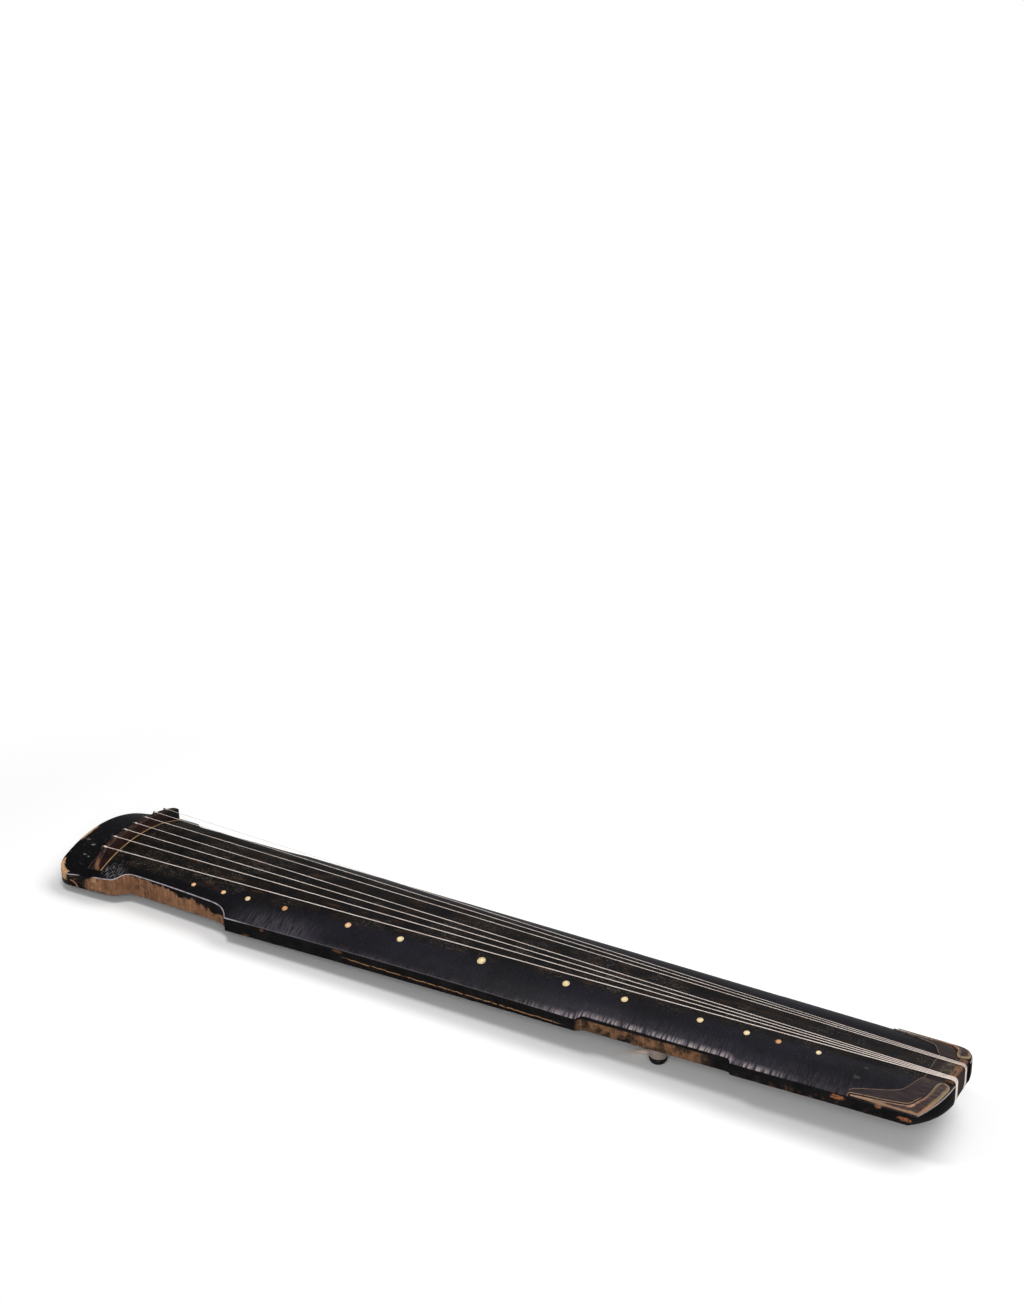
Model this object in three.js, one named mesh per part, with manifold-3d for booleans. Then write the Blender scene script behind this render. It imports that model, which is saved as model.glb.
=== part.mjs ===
// Guqin: a long seven-string zither of lacquered wood, modelled in millimetres with +z up.
// In the body's own frame x is zero at the front face of the bridge and grows towards the tail,
// y is zero on the centre line (inlaid studs on the -y side, player on the +y side),
// and z is zero on the flat underside. The whole body is then tilted onto its feet.
import * as THREE from 'three';
import { mergeVertices } from 'three/addons/utils/BufferGeometryUtils.js';
import Module from 'manifold-3d';

const wasm = await Module();
wasm.setup();

// Clearances and cutting
const fit_gap = 0.3;
const overrun = 6;

// Body, along x
const string_length = 1110;
const head_length = 70;
const tail_reach = 11.5;
const shoulder_place_share = 0.1872;
const waist_start_share = 0.6258;
const waist_end_share = 0.7974;
const middle_share = 0.5;
const head_side_length = 90;
const neck_step_length = 30;
const shoulder_curve_length = 30;
const waist_step_length = 12;
const waist_return_length = 8;

// Body, across y (all are half widths)
const head_half_width = 94;
const bridge_half_width = 89;
const neck_half_width = 73.4;
const neck_flare = 3.2;
const shoulder_half_width = 90.3;
const waist_front_half_width = 80.5;
const waist_back_half_width = 75.6;
const waist_front_depth = 5.8;
const waist_back_depth = 4.2;
const tail_half_width = 70.8;
const tail_taper = 1.2;
const crown_half_width = tail_half_width + tail_taper;
const head_corner_radius = 26;
const end_bow = 25;
const end_bow_power = 3.2;
const end_round = 9;
const end_round_steps = 4;

// Body, thickness along the centre line and at the edge
const head_end_middle = 39.3;
const bridge_middle = 42.3;
const body_middle = 39.9;
const tail_middle = 32.2;
const head_edge = 13.5;
const bridge_edge = 22.5;
const shoulder_edge = 18;
const waist_front_edge = 15.8;
const waist_back_edge = 15.4;
const crown_tip_edge = 15;
const tail_edge = 13.6;
const head_arch_power = 2;
const arch_power = 2.44;

// Boards and the hollow between them
const bottom_thickness = 8;
const ceiling_thickness = 10;
const side_wall = 12;
const hollow_start = 76;
const tail_block = 67;
const sound_pad_thickness = 5;
const sound_pad_margin = 13;
const dragon_pool_share = 0.25;
const dragon_pool_length = 215;
const dragon_pool_width = 24;
const phoenix_pool_share = 0.8;
const phoenix_pool_length = 112;
const phoenix_pool_width = 21;
const round_post_share = 0.212;
const round_post_diameter = 14;
const square_post_share = 0.63;
const square_post_width = 14;

// Bridge and the strip of string holes behind it
const bridge_width = 8;
const bridge_half_length = 81;
const bridge_rise = 14.3;
const bridge_near_fall = 22.2;
const bridge_far_fall = 13.2;
const bridge_near_power = 4.7;
const bridge_far_power = 2.25;
const bridge_round = 1.6;
const strip_width = 12;
const strip_half_length = 82;
const strip_thickness = 1.4;
const string_hole_diameter = 4.4;

// Strings
const string_pitch = 20.5;
const string_diameters = [1.52, 1.4, 1.3, 1.2, 1.1, 1, 0.9];
const near_string_count = 4;
const near_bunch_edge = 21.5;
const near_bunch_pitch = 3.2;
const far_bunch_edge = 8.4;
const far_bunch_pitch = 3.8;
const string_sides = 6;
const knot_length = 3.2;
const knot_place_shares = [0, 0.3, 0.7, 1];
const knot_swell_shares = [1, 1.45, 1.45, 1];
const turn_gap = 0.46;
const neighbour_gap = 0.25;
const near_turns = 2;
const far_turns = 3;
const near_winding_drop = 1.9;
const far_winding_drop = 6.2;
const steps_per_turn = 24;
const loose_end_lengths = [27, 33, 30, 38, 16, 19, 17];
const loose_end_splays = [-4, 3, -9, -14, 2, -3, 4];
const loose_end_drops = [0.6, 0.9, 1.2, 3.4, 0.5, 0.8, 1.1];
const loose_end_shares = [0.35, 0.7, 1];

// Silk loops and tuning pegs
const loop_diameter = 2;
const peg_back_offset = 14;
const peg_pool_length = 27;
const peg_pool_half_width = 73;
const peg_pool_depth = 19.5;
const peg_plate_thickness = 2.4;
const peg_top_radius = 7.5;
const peg_waist_radius = 5.2;
const peg_foot_radius = 6.6;
const peg_foot_edge_share = 0.85;
const peg_reach = 9;
const peg_cap_height = 4;
const peg_bore_diameter = 4.6;
const peg_side_hole_diameter = 3;
const peg_side_hole_height = 3;
const peg_sides = 12;

// Guards beside the pegs
const guard_place = 38;
const guard_length = 20;
const guard_height = 10;
const guard_spread = 67;
const guard_half_width = 9;
const guard_chamfer = 3;

// Goose feet with their sockets
const foot_place_share = 0.7073;
const foot_wall_gap = 3.1;
const foot_height = 32;
const foot_filing = 0.5;
const foot_base_radius = 10.6;
const foot_sole_radius = 6.4;
const foot_base_height = 7.2;
const foot_dome_shares = [[0.86, 0.3], [0.97, 0.65], [1, 1]];
const foot_shoulder_height = 1.2;
const foot_shoulder_shares = [0.93, 0.6];
const foot_neck_radius = 8.6;
const foot_tenon_width = 9;
const foot_tenon_height = 12;
const socket_width = 24;
const socket_height = 16;
const foot_sides = 20;

// Nut, tail support, plate and the crowns on the tail corners
const nut_width = 9.5;
const nut_lap = 1;
const nut_half_length = 24;
const nut_top = 34.4;
const nut_round = 4;
const nut_seat_height = 17.7;
const crown_length = 103.5;
const plate_thickness = 1;
const plate_start_share = 0.659;
const crown_base_thickness = 1.1;
const crown_rim_thickness = 2.3;

// Inlaid studs that mark the harmonics
const stud_place_shares = [
  1 / 8, 1 / 6, 1 / 5, 1 / 4, 1 / 3, 2 / 5, 1 / 2, 3 / 5, 2 / 3, 3 / 4, 4 / 5, 5 / 6, 7 / 8,
];
const stud_size_shares = [0.56, 0.6, 0.66, 0.7, 0.76, 0.82, 1, 0.82, 0.76, 0.7, 0.66, 0.6, 0.56];
const stud_diameter = 10.4;
const stud_depth = 1;
const stud_proud = 0.15;
const stud_offset_at_bridge = 4.4;
const stud_offset_at_nut = 7.4;
const stud_sides = 12;

// Places that follow from the sizes above
const head_x = -head_length;
const tail_x = string_length + tail_reach;
const shoulder_x = string_length * shoulder_place_share;
const waist_start_x = string_length * waist_start_share;
const waist_end_x = string_length * waist_end_share;
const crown_x = tail_x - crown_length;
const corner_x = tail_x - end_bow;
const peg_x = -peg_back_offset;
const foot_x = string_length * foot_place_share;
const waist_front_inner = waist_front_half_width - waist_front_depth - side_wall;
const waist_back_inner = waist_back_half_width - waist_back_depth - side_wall;
const foot_along_waist = (foot_x - waist_start_x) / (waist_end_x - waist_start_x);
const inner_width_at_foot = waist_front_inner + (waist_back_inner - waist_front_inner) * foot_along_waist;
const foot_spread = inner_width_at_foot - socket_width / 2 - foot_wall_gap;
const guard_x = -guard_place;
const nut_x = string_length - nut_lap;
const end_face_x = nut_x + nut_width;
const notch_half_width = nut_half_length + fit_gap;
const plate_x = crown_x + crown_length * plate_start_share;
const top_board_floor = bottom_thickness + fit_gap;
const floor_tilt = Math.atan2(foot_height - guard_height, foot_x - guard_x);
const sides_of_body = [{ name: 'near', sign: -1 }, { name: 'far', sign: 1 }];

const colours = {
  lacquer: { color: 0x17151a, roughness: 0.42, metalness: 0 },
  dark_wood: { color: 0x3a2119, roughness: 0.5, metalness: 0 },
  crown_wood: { color: 0x4a3226, roughness: 0.5, metalness: 0 },
  raw_wood: { color: 0x8a6136, roughness: 0.75, metalness: 0 },
  horn: { color: 0x0c0b0d, roughness: 0.2, metalness: 0 },
  stud: { color: 0xd8bd7c, roughness: 0.4, metalness: 0.2 },
  silk: { color: 0xcfc4bb, roughness: 0.7, metalness: 0 },
  loop: { color: 0x8d7a63, roughness: 0.85, metalness: 0 },
};

const body = new THREE.Group();

function addPart(name, geometry, finish) {
  const mesh = new THREE.Mesh(geometry, new THREE.MeshStandardMaterial(colours[finish]));
  mesh.name = name;
  body.add(mesh);
  return mesh;
}

// Conversion between three.js geometry and solids that can be joined and cut
function toSolid(geometry) {
  const bare = geometry.clone();
  bare.deleteAttribute('normal');
  bare.deleteAttribute('uv');
  const merged = mergeVertices(bare);
  return new wasm.Manifold(new wasm.Mesh({
    numProp: 3,
    vertProperties: new Float32Array(merged.attributes.position.array),
    triVerts: new Uint32Array(merged.index.array),
  }));
}

function toGeometry(solid) {
  const mesh = solid.getMesh();
  const geometry = new THREE.BufferGeometry();
  geometry.setAttribute('position', new THREE.BufferAttribute(new Float32Array(mesh.vertProperties), 3));
  geometry.setIndex(new THREE.BufferAttribute(new Uint32Array(mesh.triVerts), 1));
  geometry.computeVertexNormals();
  return geometry;
}

function signedVolume(points, index) {
  let volume = 0;
  for (let corner = 0; corner < index.length; corner += 3) {
    const [a, b, c] = [points[index[corner]], points[index[corner + 1]], points[index[corner + 2]]];
    volume += a.dot(new THREE.Vector3().crossVectors(b, c));
  }
  return volume;
}

// A closed skin over a row of rings that all have the same number of points
function skin(rings) {
  const sides = rings[0].length;
  const points = rings.flat();
  const last = (rings.length - 1) * sides;
  const index = [];
  for (let ring = 0; ring < rings.length - 1; ring += 1) {
    for (let side = 0; side < sides; side += 1) {
      const here = ring * sides + side;
      const beside = ring * sides + (side + 1) % sides;
      index.push(here, beside, here + sides, beside, beside + sides, here + sides);
    }
  }
  for (let side = 1; side < sides - 1; side += 1) {
    index.push(0, side + 1, side);
    index.push(last, last + side, last + side + 1);
  }
  if (signedVolume(points, index) < 0) {
    index.reverse();
  }
  const geometry = new THREE.BufferGeometry().setFromPoints(points);
  geometry.setIndex(index);
  geometry.computeVertexNormals();
  return geometry;
}

// A tube through a list of points, its rings square to the path; the radius may change along it
function tube(points, radiusAt, sides) {
  const rings = [];
  let normal = null;
  points.forEach((point, step) => {
    const before = points[Math.max(step - 1, 0)];
    const after = points[Math.min(step + 1, points.length - 1)];
    const inward = new THREE.Vector3().subVectors(point, before).normalize();
    const outward = new THREE.Vector3().subVectors(after, point).normalize();
    const tangent = inward.add(outward).normalize();
    if (normal === null) {
      normal = new THREE.Vector3(0, 1, 0);
    }
    normal.addScaledVector(tangent, -normal.dot(tangent)).normalize();
    const binormal = new THREE.Vector3().crossVectors(tangent, normal);
    const radius = radiusAt(step);
    const ring = [];
    for (let side = 0; side < sides; side += 1) {
      const angle = 2 * Math.PI * side / sides;
      const spoke = normal.clone().multiplyScalar(radius * Math.cos(angle));
      spoke.addScaledVector(binormal, radius * Math.sin(angle));
      ring.push(spoke.add(point));
    }
    rings.push(ring);
  });
  return skin(rings);
}

// Points along an arc that stands across y
function arc(x, z, y, radius, from, to, steps) {
  return Array.from({ length: steps + 1 }, (_, step) => {
    const angle = from + (to - from) * step / steps;
    return new THREE.Vector3(x + radius * Math.cos(angle), y, z + radius * Math.sin(angle));
  });
}

function prism(outline, low, high) {
  const shape = new THREE.Shape(outline);
  const geometry = new THREE.ExtrudeGeometry(shape, { depth: high - low, bevelEnabled: false });
  return toSolid(geometry.translate(0, 0, low));
}

function rectangle(x_low, x_high, y_low, y_high) {
  return [[x_low, y_low], [x_high, y_low], [x_high, y_high], [x_low, y_high]]
    .map(([x, y]) => new THREE.Vector2(x, y));
}

function circle(x, y, radius, sides) {
  return new THREE.EllipseCurve(x, y, radius, radius).getPoints(sides).slice(0, sides);
}

function slot(x_low, x_high, width) {
  const radius = width / 4;
  const shape = new THREE.Shape();
  shape.absarc(x_high - radius, width / 2 - radius, radius, 0, Math.PI / 2);
  shape.absarc(x_low + radius, width / 2 - radius, radius, Math.PI / 2, Math.PI);
  shape.absarc(x_low + radius, radius - width / 2, radius, Math.PI, 1.5 * Math.PI);
  shape.absarc(x_high - radius, radius - width / 2, radius, 1.5 * Math.PI, 2 * Math.PI);
  return shape.getPoints(2);
}

// A profile drawn in x and z, extruded across y
function acrossBody(profile, y_low, y_high) {
  const shape = new THREE.Shape(profile);
  const geometry = new THREE.ExtrudeGeometry(shape, { depth: y_high - y_low, bevelEnabled: false });
  return geometry.rotateX(Math.PI / 2).translate(0, y_high, 0);
}

function turned(profile, sides) {
  return new THREE.LatheGeometry(profile, sides).rotateX(Math.PI / 2);
}

// Smooth values along the body through a few stations
function along(stations, x) {
  const last = stations.length - 1;
  const right = Math.min(Math.max(stations.findIndex((station) => station[0] > x), 1), last);
  const index = x >= stations[last][0] ? last : right;
  const slope = (knot) => {
    const before = stations[Math.max(knot - 1, 0)];
    const after = stations[Math.min(knot + 1, last)];
    return (after[1] - before[1]) / (after[0] - before[0]);
  };
  const [start_x, start_value] = stations[index - 1];
  const [end_x, end_value] = stations[index];
  const span = end_x - start_x;
  const t = Math.min(Math.max((x - start_x) / span, 0), 1);
  const start_weight = (1 + 2 * t) * (1 - t) ** 2;
  const bend_in = t * (1 - t) ** 2 * span * slope(index - 1);
  const bend_out = t ** 2 * (t - 1) * span * slope(index);
  return start_weight * start_value + bend_in + (1 - start_weight) * end_value + bend_out;
}

const half_width_stations = [
  [head_x, head_half_width],
  [0, bridge_half_width],
  [shoulder_x, shoulder_half_width],
  [waist_start_x, waist_front_half_width],
  [waist_end_x, waist_back_half_width],
  [crown_x, crown_half_width],
  [corner_x, tail_half_width],
];
const edge_stations = [
  [head_x, head_edge],
  [0, bridge_edge],
  [shoulder_x, shoulder_edge],
  [waist_start_x, waist_front_edge],
  [waist_end_x, waist_back_edge],
  [crown_x, crown_tip_edge],
  [corner_x, tail_edge],
];
const middle_stations = [
  [head_x, head_end_middle],
  [0, bridge_middle],
  [string_length * middle_share, body_middle],
  [string_length, tail_middle],
];

const power_stations = [
  [head_x, head_arch_power],
  [shoulder_x, arch_power],
];

function endOfBody(y) {
  const share = Math.min(Math.abs(y) / tail_half_width, 1);
  return tail_x - end_bow * share ** end_bow_power;
}

// Height of the arched top board
function boardHeight(x, y) {
  const half_width = along(half_width_stations, x);
  const edge = along(edge_stations, x);
  const middle = along(middle_stations, x);
  return edge + (middle - edge) * (1 - Math.abs(y / half_width) ** along(power_stations, x));
}

// The solid under the arched surface, raised or lowered by lift; every slab shares one grid
const across_shares = [
  -1.06, -1, -0.93, -0.84, -0.72, -0.57, -0.4, -0.2, 0, 0.2, 0.4, 0.57, 0.72, 0.84, 0.93, 1, 1.06,
];
const grid_places = [
  head_x - overrun, head_x, head_x / 2, 0, shoulder_x / 2, shoulder_x,
  ...[0.3, 0.4, 0.5, 0.6, 0.7, 0.8, 0.87].map((place_share) => string_length * place_share),
  crown_x, (crown_x + corner_x) / 2, corner_x, string_length, tail_x + overrun,
];

function slab(lift, low) {
  const rings = grid_places.map((x) => {
    const half_width = along(half_width_stations, x);
    const top = across_shares.map((share) => {
      const y = share * half_width;
      return new THREE.Vector3(x, y, boardHeight(x, y) + lift);
    });
    const [first, final] = [top[0], top[top.length - 1]];
    return [...top, new THREE.Vector3(x, final.y, low), new THREE.Vector3(x, first.y, low)];
  });
  return toSolid(skin(rings));
}

const end_shares = [0.94, 0.86, 0.76, 0.64, 0.5, 0.34, 0.17, 0];

// One side of the plan outline, from the middle of the head end to the middle of the tail end
function sideOutline() {
  const side = new THREE.Path();
  const neck_x = head_x + head_side_length;
  const neck_end_x = shoulder_x - shoulder_curve_length;
  const step_half_width = bridge_half_width;
  const flared = neck_half_width + neck_flare;
  const waist_in = waist_front_half_width - waist_front_depth;
  const waist_out = waist_back_half_width - waist_back_depth;
  side.moveTo(head_x, 0);
  side.lineTo(head_x, head_half_width - head_corner_radius);
  side.absarc(head_x + head_corner_radius, head_half_width - head_corner_radius, head_corner_radius,
    Math.PI, Math.PI / 2, true);
  side.quadraticCurveTo(neck_x / 2, step_half_width + (head_half_width - step_half_width) / 2,
    neck_x, step_half_width);
  side.bezierCurveTo(neck_x + neck_step_length / 2, step_half_width,
    neck_x + neck_step_length / 3, neck_half_width,
    neck_x + neck_step_length, neck_half_width);
  side.quadraticCurveTo((neck_x + neck_end_x) / 2, neck_half_width, neck_end_x, flared);
  side.bezierCurveTo(shoulder_x - shoulder_curve_length / 3, flared + neck_flare / 3,
    shoulder_x - shoulder_curve_length / 6, (flared + shoulder_half_width) / 2,
    shoulder_x, shoulder_half_width);
  side.quadraticCurveTo((shoulder_x + waist_start_x) / 2, waist_front_half_width + neck_flare / 2,
    waist_start_x, waist_front_half_width);
  side.bezierCurveTo(waist_start_x + waist_step_length / 2, waist_front_half_width,
    waist_start_x + waist_step_length / 3, waist_in,
    waist_start_x + waist_step_length, waist_in);
  side.lineTo(waist_end_x - waist_return_length, waist_out);
  side.bezierCurveTo(waist_end_x - waist_return_length / 3, waist_out,
    waist_end_x, waist_out,
    waist_end_x, waist_back_half_width);
  side.lineTo(crown_x, crown_half_width);
  side.lineTo(corner_x, tail_half_width);
  const end_curve = end_shares.map((end_share) => {
    const y = end_share * tail_half_width;
    return new THREE.Vector2(endOfBody(y), y);
  });
  return [...side.getPoints(6), ...end_curve];
}

function mirrored(side) {
  const inner = side.filter((point) => point.y > 0).reverse();
  return [...side, ...inner.map((point) => new THREE.Vector2(point.x, -point.y))];
}

const body_outline = mirrored(sideOutline());
const highest = bridge_middle + bridge_rise + overrun;
const outline_solid = prism(body_outline, 0, highest);

// A layer that lies on the arched surface inside a plan outline
function onBoard(outline, low_lift, high_lift) {
  return prism(outline, 0, highest).intersect(slab(high_lift, 0)).subtract(slab(low_lift, -overrun));
}

// The hollow between the boards, with its pads facing the two sound holes
function sideOfHollow() {
  const neck = neck_half_width - side_wall;
  return [
    [hollow_start, 0],
    [hollow_start, neck],
    [shoulder_x, neck],
    [shoulder_x + side_wall, shoulder_half_width - side_wall - neck_flare],
    [waist_start_x - side_wall, waist_front_half_width - side_wall],
    [waist_start_x, waist_front_inner],
    [waist_end_x, waist_back_inner],
    [tail_x - tail_block, tail_half_width - side_wall],
    [tail_x - tail_block, 0],
  ].map(([x, y]) => new THREE.Vector2(x, y));
}

const sound_holes = [
  { start: string_length * dragon_pool_share, length: dragon_pool_length, width: dragon_pool_width },
  { start: string_length * phoenix_pool_share, length: phoenix_pool_length, width: phoenix_pool_width },
];

function hollow() {
  const outline = mirrored(sideOfHollow());
  let space = prism(outline, 0, highest).intersect(slab(-ceiling_thickness, 0));
  sound_holes.forEach((hole) => {
    const pad_outline = rectangle(hole.start - sound_pad_margin, hole.start + hole.length + sound_pad_margin,
      -hole.width / 2 - sound_pad_margin, hole.width / 2 + sound_pad_margin);
    const above_pad = slab(-ceiling_thickness - sound_pad_thickness, -overrun);
    const pad = prism(pad_outline, 0, highest).subtract(above_pad);
    space = space.subtract(pad);
  });
  return space;
}

// Where each string lies at the bridge and at the nut
const strings = string_diameters.map((diameter, index) => {
  const near = index < near_string_count;
  const place = near ? index : index - near_string_count;
  return {
    name: `${index + 1}`,
    radius: diameter / 2,
    bridge_y: (index - (string_diameters.length - 1) / 2) * string_pitch,
    nut_y: near ? place * near_bunch_pitch - near_bunch_edge : far_bunch_edge + place * far_bunch_pitch,
    side: near ? sides_of_body[0] : sides_of_body[1],
    turns: near ? near_turns : far_turns,
    loose_end: loose_end_lengths[index],
    splay: loose_end_splays[index],
    drop: loose_end_drops[index],
  };
});

const studs = stud_place_shares.map((place_share, index) => {
  const bridge_y = strings[0].bridge_y - stud_offset_at_bridge;
  const nut_y = strings[0].nut_y - stud_offset_at_nut;
  return {
    name: `stud_${index + 1}`,
    x: place_share * string_length,
    y: bridge_y + (nut_y - bridge_y) * place_share,
    radius: stud_diameter * stud_size_shares[index] / 2,
  };
});

// The two boards that form the body
const pool_outline = rectangle(peg_x - peg_pool_length / 2, peg_x + peg_pool_length / 2,
  -peg_pool_half_width, peg_pool_half_width);
const notch = prism(rectangle(nut_x - fit_gap, tail_x + overrun, -notch_half_width, notch_half_width),
  -overrun, highest);

// What the rounded lower edge of the tail end leaves out
function belowEnd() {
  const far_x = tail_x + overrun;
  const side_shares = [across_shares[across_shares.length - 1], 1, ...end_shares];
  const both_shares = [...side_shares.slice(0, -1).map((share) => -share), ...side_shares.reverse()];
  const rings = both_shares.map((share) => {
    const y = share * tail_half_width;
    const end_x = endOfBody(y);
    const rounding = arc(end_x - end_round, end_round, y, end_round, 0, -Math.PI / 2, end_round_steps);
    return [
      new THREE.Vector3(far_x, y, -overrun), new THREE.Vector3(far_x, y, end_round), ...rounding,
      new THREE.Vector3(end_x - end_round, y, -overrun),
    ];
  });
  return toSolid(skin(rings));
}

function stringHoles(diameter, low, high) {
  return strings.map((string) => prism(circle(peg_x, string.bridge_y, diameter / 2, peg_sides), low, high));
}

function topBoard() {
  let board = slab(0, top_board_floor).intersect(outline_solid).subtract(hollow()).subtract(notch);
  board = board.subtract(belowEnd());
  board = board.subtract(prism(pool_outline, -overrun, peg_pool_depth));
  stringHoles(string_hole_diameter, 0, highest).forEach((hole) => {
    board = board.subtract(hole);
  });
  studs.forEach((stud) => {
    const recess = circle(stud.x, stud.y, stud.radius + fit_gap, stud_sides);
    board = board.subtract(prism(recess, 0, highest).subtract(slab(-stud_depth, -overrun)));
  });
  return board;
}

function bottomBoard() {
  let board = prism(body_outline, 0, bottom_thickness).subtract(notch).subtract(belowEnd());
  board = board.subtract(prism(pool_outline, -overrun, highest));
  sound_holes.forEach((hole) => {
    board = board.subtract(prism(slot(hole.start, hole.start + hole.length, hole.width), -overrun, highest));
  });
  sides_of_body.forEach(({ sign }) => {
    const seat = socket_width / 2 + fit_gap;
    const y = sign * foot_spread;
    const seat_outline = rectangle(foot_x - seat, foot_x + seat, y - seat, y + seat);
    board = board.subtract(prism(seat_outline, -overrun, highest));
  });
  return board;
}

addPart('top_board', toGeometry(topBoard()), 'lacquer');
addPart('bottom_board', toGeometry(bottomBoard()), 'lacquer');

// Two posts that stand in the hollow
function soundPost(outline) {
  const under_ceiling = slab(-ceiling_thickness - fit_gap, 0);
  return toGeometry(prism(outline, top_board_floor, highest).intersect(under_ceiling));
}

const round_post_x = string_length * round_post_share;
const square_post_x = string_length * square_post_share;
const square_post_half = square_post_width / 2;
const round_post = circle(round_post_x, 0, round_post_diameter / 2, peg_sides);
addPart('sound_post_round', soundPost(round_post), 'raw_wood');
addPart('sound_post_square', soundPost(rectangle(square_post_x - square_post_half,
  square_post_x + square_post_half, -square_post_half, square_post_half)), 'raw_wood');

// Bridge, whose top falls away steeply to its near end and gently to its far end, on the arch
function bridgeTop(y) {
  const [fall, power] = y < 0 ? [bridge_near_fall, bridge_near_power] : [bridge_far_fall, bridge_far_power];
  return bridge_middle + bridge_rise - fall * (Math.abs(y) / bridge_half_length) ** power;
}

function bridge() {
  const place_shares = [-1, -0.95, -0.88, -0.8, -0.7, -0.55, -0.35, -0.12];
  const both_shares = [...place_shares, ...place_shares.map((share) => -share).reverse()];
  const rings = both_shares.map((share) => {
    const y = share * bridge_half_length;
    const top = bridgeTop(y);
    const profile = [
      [0, head_edge], [0, top - bridge_round], [-bridge_round / 3, top - bridge_round / 3],
      [-bridge_round, top], [bridge_round - bridge_width, top],
      [bridge_round / 3 - bridge_width, top - bridge_round / 3],
      [-bridge_width, top - bridge_round], [-bridge_width, head_edge],
    ];
    return profile.map(([x, z]) => new THREE.Vector3(x, y, z));
  });
  return toSolid(skin(rings)).subtract(slab(fit_gap, 0));
}

addPart('bridge', toGeometry(bridge()), 'dark_wood');

// Strip with the string holes, against the back of the bridge
function stringHoleStrip() {
  const outline = rectangle(-bridge_width - fit_gap - strip_width, -bridge_width - fit_gap,
    -strip_half_length, strip_half_length);
  let strip = onBoard(outline, fit_gap, fit_gap + strip_thickness);
  stringHoles(string_hole_diameter, 0, highest).forEach((hole) => {
    strip = strip.subtract(hole);
  });
  return strip;
}

addPart('string_hole_strip', toGeometry(stringHoleStrip()), 'dark_wood');

// Studs let into the top board
studs.forEach((stud) => {
  const disc = onBoard(circle(stud.x, stud.y, stud.radius, stud_sides), fit_gap - stud_depth, stud_proud);
  addPart(stud.name, toGeometry(disc), 'stud');
});

// Nut with its rounded back edge, and the support under it on the tail end
function nutProfile() {
  const shape = new THREE.Shape();
  shape.moveTo(nut_x, nut_seat_height + fit_gap);
  shape.lineTo(end_face_x, nut_seat_height + fit_gap);
  shape.absarc(end_face_x - nut_round, nut_top - nut_round, nut_round, 0, Math.PI / 2);
  shape.lineTo(nut_x + nut_lap / 2, nut_top);
  shape.lineTo(nut_x, nut_top - nut_lap / 2);
  return shape.getPoints(3);
}

function supportProfile() {
  const shape = new THREE.Shape();
  shape.moveTo(nut_x, 0);
  shape.absarc(end_face_x - end_round, end_round, end_round, -Math.PI / 2, 0);
  shape.lineTo(end_face_x, nut_seat_height);
  shape.lineTo(nut_x, nut_seat_height);
  return shape.getPoints(end_round_steps);
}

addPart('nut', acrossBody(nutProfile(), -nut_half_length, nut_half_length), 'dark_wood');
addPart('tail_support', acrossBody(supportProfile(), -nut_half_length, nut_half_length), 'dark_wood');

// Plate in front of the nut
function tailPlate() {
  const outline = rectangle(plate_x, nut_x - fit_gap, -nut_half_length, nut_half_length);
  return onBoard(outline, fit_gap, fit_gap + plate_thickness);
}

addPart('tail_plate', toGeometry(tailPlate()), 'crown_wood');

// Crowns on the tail corners: a broad base layer, and a raised rim that ends in a rounded lobe.
// Each place is a share of the crown's length and of the way from the nut out to the body's edge.
const base_edge_shares = [
  [0, 1.04], [0.012, 0.89], [0.04, 0.845], [0.112, 0.793], [0.306, 0.676], [0.402, 0.616], [0.493, 0.531],
  [0.533, 0.456], [0.566, 0.34], [0.6, 0.19], [0.63, 0.06], [plate_start_share, 0],
];
const rim_edge_shares = [
  [0.03, 1.05], [0.15, 0.995], [0.353, 0.944], [0.556, 0.892], [0.634, 0.855], [0.677, 0.8], [0.705, 0.72],
  [0.756, 0.594], [0.791, 0.43], [0.809, 0.219], [0.824, 0.122], [0.846, 0.06], [0.885, 0.045],
  [0.922, 0.079], [0.952, 0.136], [0.955, 0.248], [0.938, 0.368], [0.912, 0.529], [0.863, 0.731],
  [0.822, 0.853], [0.777, 0.952],
];

function crownOutline(edge_shares, last_x, sign) {
  const inner_y = notch_half_width + fit_gap;
  const placed = edge_shares.map(([along_share, out_share]) => new THREE.Vector2(
    crown_x + crown_length * along_share,
    sign * (inner_y + (tail_half_width - inner_y) * out_share),
  ));
  const last_y = placed[placed.length - 1].y;
  const outside_y = sign * (crown_half_width + overrun);
  return [...placed, new THREE.Vector2(last_x, last_y), new THREE.Vector2(last_x, outside_y),
    new THREE.Vector2(placed[0].x, outside_y)];
}

sides_of_body.forEach(({ name, sign }) => {
  const base_top = fit_gap + crown_base_thickness;
  const base_outline = crownOutline(base_edge_shares, tail_x + overrun, sign);
  const base = onBoard(base_outline, fit_gap, base_top).intersect(outline_solid);
  const rim_low = base_top + fit_gap;
  const rim = onBoard(crownOutline(rim_edge_shares, corner_x, sign), rim_low, rim_low + crown_rim_thickness);
  addPart(`crown_base_${name}`, toGeometry(base), 'crown_wood');
  addPart(`crown_rim_${name}`, toGeometry(rim.intersect(outline_solid)), 'crown_wood');
});

// Wear plate on the ceiling of the peg pool
const plate_low = peg_pool_depth - fit_gap - peg_plate_thickness;

function pegPlate() {
  const half_length = peg_pool_length / 2 - fit_gap;
  const half_width = peg_pool_half_width - fit_gap;
  let plate = prism(rectangle(peg_x - half_length, peg_x + half_length, -half_width, half_width),
    plate_low, peg_pool_depth - fit_gap);
  stringHoles(string_hole_diameter, 0, highest).forEach((hole) => {
    plate = plate.subtract(hole);
  });
  return plate;
}

addPart('peg_plate', toGeometry(pegPlate()), 'dark_wood');

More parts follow.
